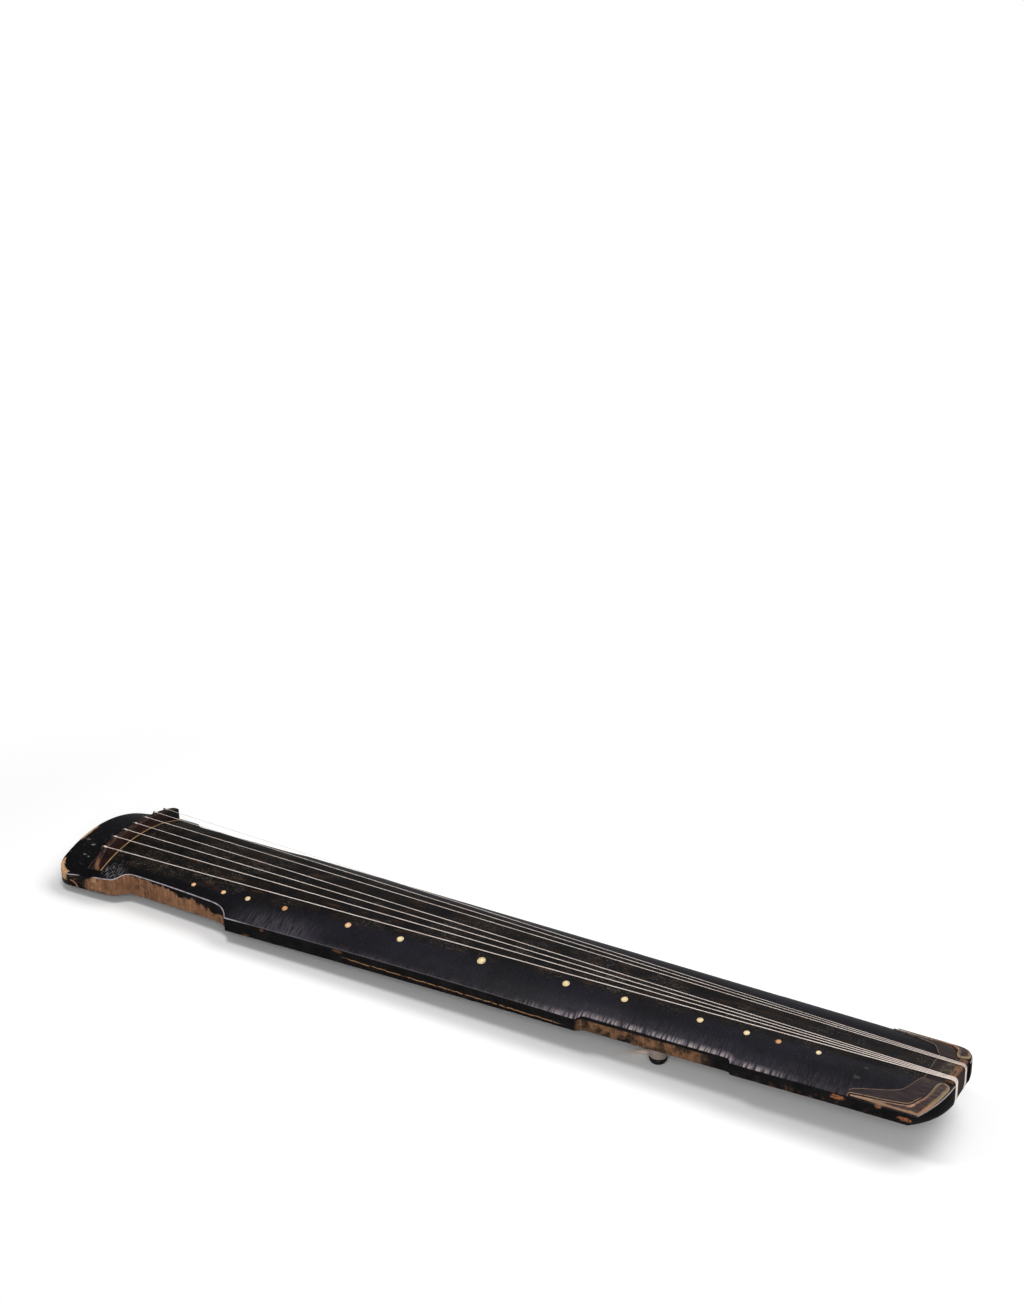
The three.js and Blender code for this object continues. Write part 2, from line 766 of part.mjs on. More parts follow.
// Turned tuning pegs, bored from the top to a side hole where the silk comes out
const peg_top = plate_low - fit_gap;
const peg_bottom = -peg_reach;

function peg() {
  const bore = peg_bore_diameter / 2;
  const bore_end = peg_side_hole_height - peg_side_hole_diameter / 2;
  const profile = [
    [0, peg_bottom], [peg_waist_radius, peg_bottom], [peg_foot_radius, peg_bottom * peg_foot_edge_share],
    [peg_foot_radius, peg_bottom / 3], [peg_waist_radius, 0],
    [peg_waist_radius, peg_top - 2 * peg_cap_height], [peg_top_radius, peg_top - peg_cap_height],
    [peg_top_radius, peg_top], [bore, peg_top], [bore, bore_end], [0, bore_end],
  ].map(([radius, height]) => new THREE.Vector2(radius, height));
  const side_hole = new THREE.CylinderGeometry(peg_side_hole_diameter / 2, peg_side_hole_diameter / 2,
    2 * peg_top_radius, peg_sides / 2).translate(0, peg_top_radius, peg_side_hole_height);
  return toGeometry(toSolid(turned(profile, peg_sides)).subtract(toSolid(side_hole)));
}

const peg_shape = peg();
strings.forEach((string) => {
  const mesh = addPart(`peg_${string.name}`, peg_shape.clone(), 'horn');
  mesh.position.set(peg_x, string.bridge_y, 0);
});

// The floor the instrument stands on, seen from the body, for filing its feet flat
function floorCutter() {
  const length = string_length + head_length;
  const box = new THREE.BoxGeometry(2 * length, 2 * length, length);
  return toSolid(box.translate(0, 0, -length / 2).rotateY(floor_tilt).translate(foot_x, 0, -foot_height));
}

const below_floor = floorCutter();

// Two guards under the head, as high as the pegs reach down
function pegGuard(sign) {
  const shape = new THREE.Shape([
    [-guard_half_width, -fit_gap], [guard_half_width, -fit_gap],
    [guard_half_width, guard_chamfer - guard_height],
    [guard_half_width - guard_chamfer, -guard_height - foot_filing],
    [guard_chamfer - guard_half_width, -guard_height - foot_filing],
    [-guard_half_width, guard_chamfer - guard_height],
  ].map(([y, z]) => new THREE.Vector2(y, z)));
  const block = new THREE.ExtrudeGeometry(shape, { depth: guard_length, bevelEnabled: false });
  block.rotateX(Math.PI / 2).rotateZ(Math.PI / 2);
  block.translate(guard_x - guard_length / 2, sign * guard_spread, 0);
  return toGeometry(toSolid(block).subtract(below_floor));
}

// Goose foot: a domed base, a neck that holds the strings and a tenon that goes into its socket
function gooseFoot(sign) {
  const sole = -foot_height - foot_filing;
  const widest = sole + foot_base_height;
  const dome = foot_dome_shares.map(([radius_share, height_share]) => [
    foot_base_radius * radius_share, sole + foot_base_height * height_share,
  ]);
  const [shoulder_radius_share, shoulder_height_share] = foot_shoulder_shares;
  const profile = [
    [0, sole], [foot_sole_radius, sole], ...dome,
    [foot_base_radius * shoulder_radius_share, widest + foot_shoulder_height * shoulder_height_share],
    [foot_neck_radius, widest + foot_shoulder_height], [foot_neck_radius, -fit_gap], [0, -fit_gap],
  ].map(([radius, height]) => new THREE.Vector2(radius, height));
  const half = foot_tenon_width / 2;
  const tenon = prism(rectangle(-half, half, -half, half), -foot_neck_radius, foot_tenon_height);
  const foot = toSolid(turned(profile, foot_sides)).add(tenon).translate([foot_x, sign * foot_spread, 0]);
  return toGeometry(foot.subtract(below_floor));
}

function footSocket(sign) {
  const half = socket_width / 2;
  const hole = foot_tenon_width / 2 + fit_gap;
  const y = sign * foot_spread;
  const block = prism(rectangle(foot_x - half, foot_x + half, y - half, y + half), 0, socket_height);
  return toGeometry(block.subtract(prism(rectangle(foot_x - hole, foot_x + hole, y - hole, y + hole),
    -overrun, foot_tenon_height + fit_gap)));
}

sides_of_body.forEach(({ name, sign }) => {
  addPart(`peg_guard_${name}`, pegGuard(sign), 'dark_wood');
  addPart(`foot_socket_${name}`, footSocket(sign), 'raw_wood');
  addPart(`goose_foot_${name}`, gooseFoot(sign), 'horn');
});

// Route of one string: knot on the bridge, straight to the nut, over it and down the tail end,
// back under the body, round the neck of its foot, and a loose end
const winding_tops = { near: -near_winding_drop, far: -far_winding_drop };
const knot_start_x = bridge_round - bridge_width;

function stringRoute(string) {
  const { radius, bridge_y, nut_y, side, turns, loose_end, splay, drop } = string;
  const off = radius + fit_gap;
  const knot_z = bridgeTop(bridge_y) + off;
  const over_bridge = [...knot_place_shares.map((share) => knot_start_x + knot_length * share), -bridge_round]
    .map((x) => new THREE.Vector3(x, bridge_y, knot_z));
  const nut_rise = nut_top + off;
  const nut_line = [
    new THREE.Vector3(nut_x, nut_y, nut_rise),
    ...arc(end_face_x - nut_round, nut_top - nut_round, nut_y, nut_round + off, Math.PI / 2, 0, 5),
  ];
  const under_tail = arc(end_face_x - end_round, end_round, nut_y, end_round + off, 0, -Math.PI / 2, 5);
  const pitch = 2 * radius + turn_gap;
  const coil_radius = foot_neck_radius + off;
  const coil_top = winding_tops[side.name] - radius;
  winding_tops[side.name] = coil_top - turns * pitch - radius - neighbour_gap;
  const foot_y = side.sign * foot_spread;
  const coil = Array.from({ length: turns * steps_per_turn + 1 }, (_, step) => {
    const angle = -side.sign * (Math.PI / 2 + 2 * Math.PI * step / steps_per_turn);
    const height = coil_top - pitch * step / steps_per_turn;
    const x = foot_x + coil_radius * Math.cos(angle);
    return new THREE.Vector3(x, foot_y + coil_radius * Math.sin(angle), height);
  });
  const last = coil[coil.length - 1];
  const loose = loose_end_shares.map((share) => new THREE.Vector3(
    last.x - loose_end * share, last.y + splay * share ** 2, last.z - drop * share,
  ));
  return { route: [...over_bridge, ...nut_line, ...under_tail, ...coil, ...loose], coil };
}

function leastGap(coil, diameter) {
  let least = Infinity;
  coil.forEach((point, index) => {
    coil.slice(index + steps_per_turn / 2).forEach((other) => {
      least = Math.min(least, point.distanceTo(other) - diameter);
    });
  });
  return least;
}

strings.forEach((string) => {
  const { route, coil } = stringRoute(string);
  const radiusAt = (step) => string.radius * (knot_swell_shares[step] ?? 1);
  addPart(`string_${string.name}`, tube(route, radiusAt, string_sides), 'silk');
  const gap = leastGap(coil, 2 * string.radius);
  console.log(`string ${string.name}: least gap between its turns ${gap.toFixed(3)} mm`);
});

// Silk loops, from each knot over the back of the bridge, through the board and into the peg
function silkLoop(string) {
  const radius = loop_diameter / 2;
  const off = radius + fit_gap;
  const y = string.bridge_y;
  const top = bridgeTop(y);
  const hole_top = boardHeight(peg_x, y) + fit_gap + strip_thickness;
  const start_x = knot_start_x - fit_gap;
  const bend_radius = start_x + bridge_width + off;
  const over_edge = arc(start_x, top + off - bend_radius, y, bend_radius, Math.PI / 2, Math.PI, 3);
  const down = [
    [peg_x + radius, hole_top + 3 * radius], [peg_x, hole_top + radius], [peg_x, peg_side_hole_height],
  ].map(([x, z]) => new THREE.Vector3(x, y, z));
  return tube([...over_edge, ...down], () => radius, string_sides);
}

strings.forEach((string) => {
  addPart(`silk_loop_${string.name}`, silkLoop(string), 'loop');
});

// Stand the body on its feet and put the middle of its lowest plane at the origin
body.rotation.y = -floor_tilt;
body.updateMatrixWorld(true);
const bounds = new THREE.Box3().setFromObject(body, true);
const middle = bounds.getCenter(new THREE.Vector3());
body.position.set(-middle.x, -middle.y, -bounds.min.z);

const guqin = new THREE.Group();
guqin.add(body);

export default guqin;
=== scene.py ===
# A guqin: long black-lacquered seven-string zither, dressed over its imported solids.
# Lengths are in millimetres in the body's own frame: x runs from the bridge's front face to the
# tail, y is zero on the centre line with the studs on the minus side, z is zero on the flat
# underside. AS_ROW tilts that frame onto the floor and turns it into metres.
import math
import random

import bmesh
import bpy
from mathutils import Matrix, Vector
from mathutils.kdtree import KDTree


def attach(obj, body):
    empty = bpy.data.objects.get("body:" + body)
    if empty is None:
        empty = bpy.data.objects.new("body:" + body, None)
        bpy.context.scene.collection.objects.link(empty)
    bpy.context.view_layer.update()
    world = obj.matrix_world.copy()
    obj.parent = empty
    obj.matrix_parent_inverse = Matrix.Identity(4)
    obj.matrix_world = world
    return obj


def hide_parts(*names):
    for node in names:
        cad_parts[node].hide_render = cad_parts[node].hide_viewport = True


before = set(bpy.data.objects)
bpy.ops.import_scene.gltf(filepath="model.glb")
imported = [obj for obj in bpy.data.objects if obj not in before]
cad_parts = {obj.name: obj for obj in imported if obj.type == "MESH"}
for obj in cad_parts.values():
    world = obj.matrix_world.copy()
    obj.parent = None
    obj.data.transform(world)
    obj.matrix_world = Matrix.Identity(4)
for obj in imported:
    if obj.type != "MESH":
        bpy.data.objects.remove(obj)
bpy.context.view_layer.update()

# Where the body stands, as its solids do
TILT = math.radians(1.5310442462)
PLACE = Vector((-524.50185, 0, 11.01174))
AS_ROW = Matrix.Translation(PLACE / 1000) @ Matrix.Rotation(-TILT, 4, "Y") @ Matrix.Scale(0.001, 4)
INSTRUMENT = "instrument"
SIDES = {"near": -1, "far": 1}

# Clearances: the fit between pieces, how far a cutter overruns, heights well clear of the boards
GAP = 0.3
LAID_ON = 0.05
OVERRUN = 6
ABOVE_BOTTOM = 20
ABOVE_TOP = 60

# Distances are kept in the UV maps in units of so many millimetres
MAP_UNIT = 100
NEAREST_SPACING = 0.2

# Plan of the body
STRING_LENGTH = 1110
HEAD_X = -70
TAIL_X = 1121.5
SHOULDER_X = 207.79
WAIST_START_X = 694.64
WAIST_END_X = 885.11
HEAD_SIDE = 90
NECK_STEP = 30
SHOULDER_CURVE = 30
WAIST_STEP = 12
WAIST_RETURN = 8
HEAD_HALF = 94
BRIDGE_HALF = 89
NECK_HALF = 73.4
NECK_FLARE = 3.2
SHOULDER_HALF = 90.3
WAIST_FRONT_HALF = 80.5
WAIST_BACK_HALF = 75.6
WAIST_FRONT_DEPTH = 5.8
WAIST_BACK_DEPTH = 4.2
CROWN_HALF = 72
TAIL_HALF = 70.8
HEAD_CORNER = 26
END_BOW = 25
END_BOW_POWER = 3.2
END_ROUND = 14
CROWN_LENGTH = 103.5
CROWN_X = TAIL_X - CROWN_LENGTH
CORNER_X = TAIL_X - END_BOW
SIDE_SPACING = 3.4
BLEND_LENGTH = 70

# Heights of the arched top along the middle and at the edge, its half width, the arch's power
MIDDLE_STATIONS = [(HEAD_X, 39.3), (0, 42.3), (555, 39.9), (STRING_LENGTH, 32.2)]
EDGE_STATIONS = [(HEAD_X, 13.5), (0, 22.5), (SHOULDER_X, 18), (WAIST_START_X, 15.8),
                 (WAIST_END_X, 15.4), (CROWN_X, 15), (CORNER_X, 13.6)]
HALF_STATIONS = [(HEAD_X, HEAD_HALF), (0, BRIDGE_HALF), (SHOULDER_X, SHOULDER_HALF),
                 (WAIST_START_X, WAIST_FRONT_HALF), (WAIST_END_X, WAIST_BACK_HALF),
                 (CROWN_X, CROWN_HALF), (CORNER_X, TAIL_HALF)]
POWER_STATIONS = [(HEAD_X, 2), (SHOULDER_X, 2.44)]
BOTTOM_THICK = 8
BOARD_FLOOR = BOTTOM_THICK + 0.08
TOP_THICK = 10
TOP_EASE = 1.9
BOTTOM_EASE = 1.6

# Strings; at the nut they are drawn closer together than their solids are
STRING_DIAMETERS = [1.52, 1.4, 1.3, 1.2, 1.1, 1, 0.9]
STRING_YS = [(index - 3) * 20.5 for index in range(7)]
NUT_YS = [-19.6, -17.7, -15.8, -13.9, 11.3, 13.2, 15.1]
NEAR_COUNT = 4

# Bridge, nut and peg pool
BRIDGE_WIDTH = 8
BRIDGE_LENGTH_HALF = 81
BRIDGE_TOP = 56.6
BRIDGE_NEAR_FALL, BRIDGE_NEAR_POWER = 22.2, 4.7
BRIDGE_FAR_FALL, BRIDGE_FAR_POWER = 13.2, 2.25
BRIDGE_ROUND = 1.6
STRIP_WIDTH = 12
STRIP_HALF = 82
STRIP_THICK = 1.4
STRIP_EASE = 0.4
LINE_START, LINE_END = 0.4, 1.9
LINE_SUNK, LINE_PROUD, LINE_EASE = -0.3, 0.45, 0.2
BAR_STEPS = 80
STRING_HOLE = 4.4
NUT_X = 1109
END_FACE_X = 1118.5
NUT_HALF = 24
NUT_TOP = 34.4
NUT_ROUND = 4
NUT_EASE = 0.5
NUT_SEAT = 17.7
NOTCH_HALF = NUT_HALF + GAP
PEG_X = -14
POOL_LENGTH = 27
POOL_HALF = 73
POOL_DEPTH = 19.5
PEG_PLATE_THICK = 2.4

# Goose feet and guards
FOOT_X = 785.1
FOOT_Y = 46.03
FOOT_HEIGHT = 32
FOOT_NECK = 8.6
SOCKET_HALF = 12.3
TENON_HALF, TENON_TOP = 4.5, 12
GUARD_X = -38
GUARD_Y = 67
GUARD_HEIGHT = 10
BELOW_FLOOR = 0.5


# ---- numbers along the body
def along(stations, x):
    """Smooth value at x through a few stations."""
    last = len(stations) - 1
    right = next((i for i, (place, _) in enumerate(stations) if place > x), last)
    right = min(max(right, 1), last)

    def slope(knot):
        before, after = stations[max(knot - 1, 0)], stations[min(knot + 1, last)]
        return (after[1] - before[1]) / (after[0] - before[0])

    (start_x, start), (end_x, end) = stations[right - 1], stations[right]
    span = end_x - start_x
    t = min(max((x - start_x) / span, 0), 1)
    weight = (1 + 2 * t) * (1 - t) ** 2
    bend_in = t * (1 - t) ** 2 * span * slope(right - 1)
    bend_out = t ** 2 * (t - 1) * span * slope(right)
    return weight * start + bend_in + (1 - weight) * end + bend_out


def end_of_body(y):
    share = min(abs(y) / TAIL_HALF, 1)
    return TAIL_X - END_BOW * share ** END_BOW_POWER


def board_height(x, y):
    half, edge, middle = (along(line, x) for line in (HALF_STATIONS, EDGE_STATIONS, MIDDLE_STATIONS))
    return edge + (middle - edge) * (1 - abs(y / half) ** along(POWER_STATIONS, x))


def over_board(lift):
    return lambda x, y: board_height(x, y) + lift


def level(height):
    return lambda x, y: height


def bridge_top(y):
    fall, power = (BRIDGE_NEAR_FALL, BRIDGE_NEAR_POWER) if y < 0 else (BRIDGE_FAR_FALL, BRIDGE_FAR_POWER)
    return BRIDGE_TOP - fall * (abs(y) / BRIDGE_LENGTH_HALF) ** power


def bezier(points, steps):
    """Points along a Bezier curve, without its first one."""
    made = []
    for step in range(1, steps + 1):
        row = [Vector(p) for p in points]
        while len(row) > 1:
            row = [a.lerp(b, step / steps) for a, b in zip(row, row[1:])]
        made.append(row[0])
    return made


def curved(points, steps=8):
    """A Catmull-Rom line through the points, with steps from each to the next."""
    points = [Vector(p) for p in points]
    ends = [2 * points[0] - points[1], *points, 2 * points[-1] - points[-2]]
    made = [points[0]]
    for a, b, c, d in zip(ends, ends[1:], ends[2:], ends[3:]):
        for step in range(1, steps + 1):
            t = step / steps
            made.append(0.5 * ((2 * b) + (c - a) * t + (2 * a - 5 * b + 4 * c - d) * t ** 2
                               + (3 * b - a - 3 * c + d) * t ** 3))
    return made


def respaced(points, spacing):
    """The same line with points an even distance apart."""
    lengths = [0]
    for a, b in zip(points, points[1:]):
        lengths.append(lengths[-1] + (b - a).length)
    count = max(2, round(lengths[-1] / spacing))
    made, index = [], 0
    for step in range(count + 1):
        target = lengths[-1] * step / count
        while index < len(points) - 2 and lengths[index + 1] < target:
            index += 1
        span = lengths[index + 1] - lengths[index]
        share = (target - lengths[index]) / span if span else 0
        made.append(points[index].lerp(points[index + 1], share))
    return made


def tree_of(points):
    """A tree that finds the nearest of the plan points."""
    tree = KDTree(len(points))
    for index, point in enumerate(points):
        tree.insert((*point, 0), index)
    tree.balance()
    return tree


def point_along(line, share):
    here = min(max(share, 0), 1) * (len(line) - 1)
    index = min(int(here), len(line) - 2)
    return line[index].lerp(line[index + 1], here - index)


def side_line():
    """One side of the plan, from the middle of the head's corner to the tail corner."""
    centre = Vector((HEAD_X + HEAD_CORNER, HEAD_HALF - HEAD_CORNER))
    angles = [math.pi * (0.75 - 0.25 * step / 8) for step in range(9)]
    line = [centre + HEAD_CORNER * Vector((math.cos(angle), math.sin(angle))) for angle in angles]
    neck_x, neck_end_x = HEAD_X + HEAD_SIDE, SHOULDER_X - SHOULDER_CURVE
    flared = NECK_HALF + NECK_FLARE
    waist_in = WAIST_FRONT_HALF - WAIST_FRONT_DEPTH
    waist_out = WAIST_BACK_HALF - WAIST_BACK_DEPTH
    runs = [
        (20, (neck_x / 2, (HEAD_HALF + BRIDGE_HALF) / 2), (neck_x, BRIDGE_HALF)),
        (20, (neck_x + NECK_STEP / 2, BRIDGE_HALF), (neck_x + NECK_STEP / 3, NECK_HALF),
         (neck_x + NECK_STEP, NECK_HALF)),
        (30, ((neck_x + neck_end_x) / 2, NECK_HALF), (neck_end_x, flared)),
        (24, (SHOULDER_X - SHOULDER_CURVE / 3, flared + NECK_FLARE / 3),
         (SHOULDER_X - SHOULDER_CURVE / 6, (flared + SHOULDER_HALF) / 2), (SHOULDER_X, SHOULDER_HALF)),
        (100, ((SHOULDER_X + WAIST_START_X) / 2, WAIST_FRONT_HALF + NECK_FLARE / 2),
         (WAIST_START_X, WAIST_FRONT_HALF)),
        (12, (WAIST_START_X + WAIST_STEP / 2, WAIST_FRONT_HALF),
         (WAIST_START_X + WAIST_STEP / 3, waist_in), (WAIST_START_X + WAIST_STEP, waist_in)),
        (40, (WAIST_END_X - WAIST_RETURN, waist_out)),
        (10, (WAIST_END_X - WAIST_RETURN / 3, waist_out), (WAIST_END_X, waist_out),
         (WAIST_END_X, WAIST_BACK_HALF)),
        (30, (CROWN_X, CROWN_HALF)),
        (20, (CORNER_X, TAIL_HALF)),
    ]
    for steps, *points in runs:
        line += bezier([line[-1], *points], steps)
    return line


SIDE = respaced(side_line(), SIDE_SPACING)
SIDE_STEPS = len(SIDE) - 1


def head_end(y):
    """Head end of the plan at a distance from the centre line."""
    out = abs(y) - (HEAD_HALF - HEAD_CORNER)
    if out <= 0:
        return HEAD_X
    return HEAD_X + HEAD_CORNER - math.sqrt(max(HEAD_CORNER ** 2 - out ** 2, 0))


def plan_point(s, v):
    """Plan place for a share s along the side line and v, from -1 to 1, across the body."""
    side = point_along(SIDE, s)
    even_x = SIDE[0].x + (SIDE[-1].x - SIDE[0].x) * s
    x = even_x + (side.x - even_x) * abs(v) ** 4
    head_weight = max(0, 1 - (even_x - SIDE[0].x) / BLEND_LENGTH) ** 2
    tail_weight = max(0, 1 - (SIDE[-1].x - even_x) / BLEND_LENGTH) ** 2
    x += head_weight * (head_end(v * SIDE[0].y) - SIDE[0].x)
    x += tail_weight * (end_of_body(v * SIDE[-1].y) - SIDE[-1].x)
    return Vector((x, v * side.y))


HALF_STEPS, END_STEPS = 2 * SIDE_STEPS, 180
edge_points = [plan_point(step / HALF_STEPS, v) for step in range(HALF_STEPS + 1) for v in (-1, 1)]
edge_points += [plan_point(s, 2 * step / END_STEPS - 1) for step in range(END_STEPS + 1) for s in (0, 1)]
EDGE_TREE = tree_of(edge_points)


# ---- meshes
def only(kind, geom):
    return [item for item in geom if isinstance(item, kind)]


def as_mesh(bm, name):
    """The bmesh's mesh; the bmesh itself is used up."""
    mesh = bpy.data.meshes.new(name)
    bm.to_mesh(mesh)
    bm.free()
    return mesh


def in_scene(name, data):
    made = bpy.data.objects.new(name, data)
    bpy.context.scene.collection.objects.link(made)
    return made


def finished(bm, node, look, body=INSTRUMENT, smooth_angle=35, recalc=True):
    """A bmesh in body millimetres made a piece; with a look it stands for the node, else it is new."""
    if recalc:
        bmesh.ops.recalc_face_normals(bm, faces=bm.faces)
    name = f"{node}_{look}" if look else node
    mesh = as_mesh(bm, name)
    mesh.transform(AS_ROW)
    for polygon in mesh.polygons:
        polygon.use_smooth = True
    mesh.set_sharp_from_angle(angle=math.radians(smooth_angle))
    piece = in_scene(name, mesh)
    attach(piece, body)
    if look:
        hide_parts(node)
    return piece


def cut(bm, *cutters):
    """The bmesh with each cutter's closed forms taken out of it."""
    bmesh.ops.recalc_face_normals(bm, faces=bm.faces)
    target = in_scene("rough", as_mesh(bm, "rough"))
    tools = []
    for cutter in cutters:
        bmesh.ops.recalc_face_normals(cutter, faces=cutter.faces)
        tool = in_scene("cutter", as_mesh(cutter, "cutter"))
        modifier = target.modifiers.new("cut", "BOOLEAN")
        modifier.operation, modifier.solver, modifier.object = "DIFFERENCE", "EXACT", tool
        tools.append(tool)
    made = bmesh.new()
    made.from_object(target, bpy.context.evaluated_depsgraph_get())
    for old in [target, *tools]:
        bpy.data.objects.remove(old, do_unlink=True)
    return made


def dropped(bm, low_of):
    """Walls drawn down from the open border to low_of; gives the border and the walls' open foot."""
    border = [edge for edge in bm.edges if edge.is_boundary]
    walls = bmesh.ops.extrude_edge_only(bm, edges=border)["geom"]
    for vert in only(bmesh.types.BMVert, walls):
        vert.co.z = low_of(vert.co.x, vert.co.y)
    return border, [edge for edge in only(bmesh.types.BMEdge, walls) if edge.is_boundary]


def layered(top_of, low_of, s_steps, v_steps, place):
    """A closed slab over a grid: place(s, v) gives plan points, top_of and low_of the heights."""
    bm = bmesh.new()
    grid = bmesh.ops.create_grid(bm, x_segments=s_steps, y_segments=v_steps, size=1)["verts"]
    for vert in grid:
        point = place((vert.co.x + 1) / 2, vert.co.y)
        vert.co = (point.x, point.y, top_of(point.x, point.y))
    border, foot = dropped(bm, low_of)
    bmesh.ops.triangle_fill(bm, edges=foot, use_beauty=True, use_dissolve=False)
    return bm, border


def block(x_low, x_high, y_low, y_high, z_low, z_high, bm=None):
    bm = bm or bmesh.new()
    size = Vector((x_high - x_low, y_high - y_low, z_high - z_low))
    centre = Vector((x_high + x_low, y_high + y_low, z_high + z_low)) / 2
    bmesh.ops.create_cube(bm, size=1, matrix=Matrix.Translation(centre) @ Matrix.Diagonal((*size, 1)))
    return bm


def drum(bm, radius, depth, sides, matrix=Matrix()):
    bmesh.ops.create_cone(bm, cap_ends=True, segments=sides, radius1=radius, radius2=radius,
                          depth=depth, matrix=matrix)
    return bm


def upright_drum(bm, x, y, radius, low, high, sides):
    return drum(bm, radius, high - low, sides, Matrix.Translation((x, y, (low + high) / 2)))


def softened(bm, edges, offset, segments=3):
    bmesh.ops.bevel(bm, geom=list(edges), offset=offset, offset_type="OFFSET", segments=segments,
                    profile=0.5, affect="EDGES", clamp_overlap=True, material=-1)


def rises(edge):
    """How far one end of an edge stands above the other."""
    return abs(edge.verts[0].co.z - edge.verts[1].co.z)


def keep_edge_distance(bm):
    """Stores each point's distance from the plan's edge, and its place along the body, as a UV map."""
    layer = bm.loops.layers.uv.new("lay")
    for face in bm.faces:
        for loop in face.loops:
            x, y, _ = loop.vert.co
            loop[layer].uv = (EDGE_TREE.find((x, y, 0))[2] / MAP_UNIT, x / 1000)


# ---- the boards
STUD_SHARES = [1 / 8, 1 / 6, 1 / 5, 1 / 4, 1 / 3, 2 / 5, 1 / 2, 3 / 5, 2 / 3, 3 / 4, 4 / 5, 5 / 6, 7 / 8]
STUD_SIZES = [0.56, 0.6, 0.66, 0.7, 0.76, 0.82, 1, 0.82, 0.76, 0.7, 0.66, 0.6, 0.56]
STUD_COUNT = len(STUD_SHARES)
STUD_DIAMETER = 10.4
STUD_LINE_START = STRING_YS[0] - 4.4
STUD_LINE_END = -28.9
STUD_FIT = 0.1
STUD_RECESS = 1.6
HOLLOW = [(76, 61.4), (207.8, 61.4), (219.8, 75.1), (682.6, 68.5), (694.6, 62.7), (885.1, 59.4),
          (1054.5, 58.8)]
SOUND_HOLES = [(277.5, 215, 24), (888, 112, 21)]


def stud_place(index):
    """Plan place and radius of a stud: at its harmonic's share, beside the outermost string."""
    share = STUD_SHARES[index]
    y = STUD_LINE_START + (STUD_LINE_END - STUD_LINE_START) * share
    return share * STRING_LENGTH, y, STUD_DIAMETER * STUD_SIZES[index] / 2


def hollow_place(s, v):
    """Plan place in the hollow between the boards, for shares along and across it."""
    x = HOLLOW[0][0] + (HOLLOW[-1][0] - HOLLOW[0][0]) * s
    for (start, a), (end, b) in zip(HOLLOW, HOLLOW[1:]):
        if x <= end:
            break
    return Vector((x, v * (a + (b - a) * min(max(0, x - start) / (end - start), 1))))


def string_holes():
    bm = bmesh.new()
    for y in STRING_YS:
        upright_drum(bm, PEG_X, y, STRING_HOLE / 2, 0, ABOVE_TOP, 20)
    return bm


def end_rounding():
    """What the rounded lower edge of the tail end leaves out, drawn out across the body."""
    steps, reach_out = 110, 1.1 * TAIL_HALF
    turns = [math.pi / 2 * step / 12 for step in range(13)]
    section = [(OVERRUN, END_ROUND)]
    section += [(END_ROUND * (math.cos(a) - 1), END_ROUND * (1 - math.sin(a))) for a in turns]
    section += [(-END_ROUND, -OVERRUN), (OVERRUN, -OVERRUN)]
    y, step_y = -reach_out, 2 * reach_out / steps
    bm = bmesh.new()
    ring = bmesh.ops.create_circle(bm, cap_ends=True, segments=len(section), radius=1)["verts"]
    for vert, (reach, height) in zip(ring, section):
        vert.co = (end_of_body(y) + reach, y, height)
    cap = list(bm.faces)
    for step in range(steps):
        made = bmesh.ops.extrude_face_region(bm, geom=cap)["geom"]
        if step:
            bmesh.ops.delete(bm, geom=cap, context="FACES_ONLY")
        cap = only(bmesh.types.BMFace, made)
        shift = end_of_body(y + step_y) - end_of_body(y)
        bmesh.ops.translate(bm, vec=(shift, step_y, 0), verts=only(bmesh.types.BMVert, made))
        y += step_y
    return bm


def board(node, top_of, low_of, across_steps, ease, pool_top, notch_top, room, *holes):
    """A board cut out for the peg pool, the nut's notch, the rounded end, and what it is given."""
    bm, border = layered(top_of, low_of, SIDE_STEPS, across_steps, plan_point)
    softened(bm, border, ease)
    keep_edge_distance(bm)
    pool_x = PEG_X - POOL_LENGTH / 2
    block(pool_x, pool_x + POOL_LENGTH, -POOL_HALF, POOL_HALF, -OVERRUN, pool_top, room)
    block(NUT_X - GAP, TAIL_X + OVERRUN, -NOTCH_HALF, NOTCH_HALF, -OVERRUN, notch_top, room)
    return finished(cut(bm, room, *holes, end_rounding()), node, "lacquered", recalc=False)


def top_board():
    room, _ = layered(over_board(-TOP_THICK), level(0), 90, 16, hollow_place)
    for index in range(STUD_COUNT):
        x, y, radius = stud_place(index)
        high = board_height(x, y)
        upright_drum(room, x, y, radius + STUD_FIT, high - STUD_RECESS, high + ABOVE_BOTTOM, 32)
    return board("top_board", board_height, level(BOARD_FLOOR), 58, TOP_EASE, POOL_DEPTH, ABOVE_TOP,
                 room, string_holes())


def bottom_board():
    room = bmesh.new()
    for start, length, width in SOUND_HOLES:
        slot = block(start, start + length, -width / 2, width / 2, -OVERRUN, ABOVE_BOTTOM)
        softened(slot, [edge for edge in slot.edges if rises(edge) > 1], width / 4, 6)
        mesh = as_mesh(slot, "slot")
        room.from_mesh(mesh)
        bpy.data.meshes.remove(mesh)
    for sign in SIDES.values():
        y = sign * FOOT_Y
        block(FOOT_X - SOCKET_HALF, FOOT_X + SOCKET_HALF, y - SOCKET_HALF, y + SOCKET_HALF, -OVERRUN,
              ABOVE_BOTTOM, room)
    return board("bottom_board", level(0), level(BOTTOM_THICK), 24, BOTTOM_EASE, ABOVE_BOTTOM,
                 ABOVE_BOTTOM, room)


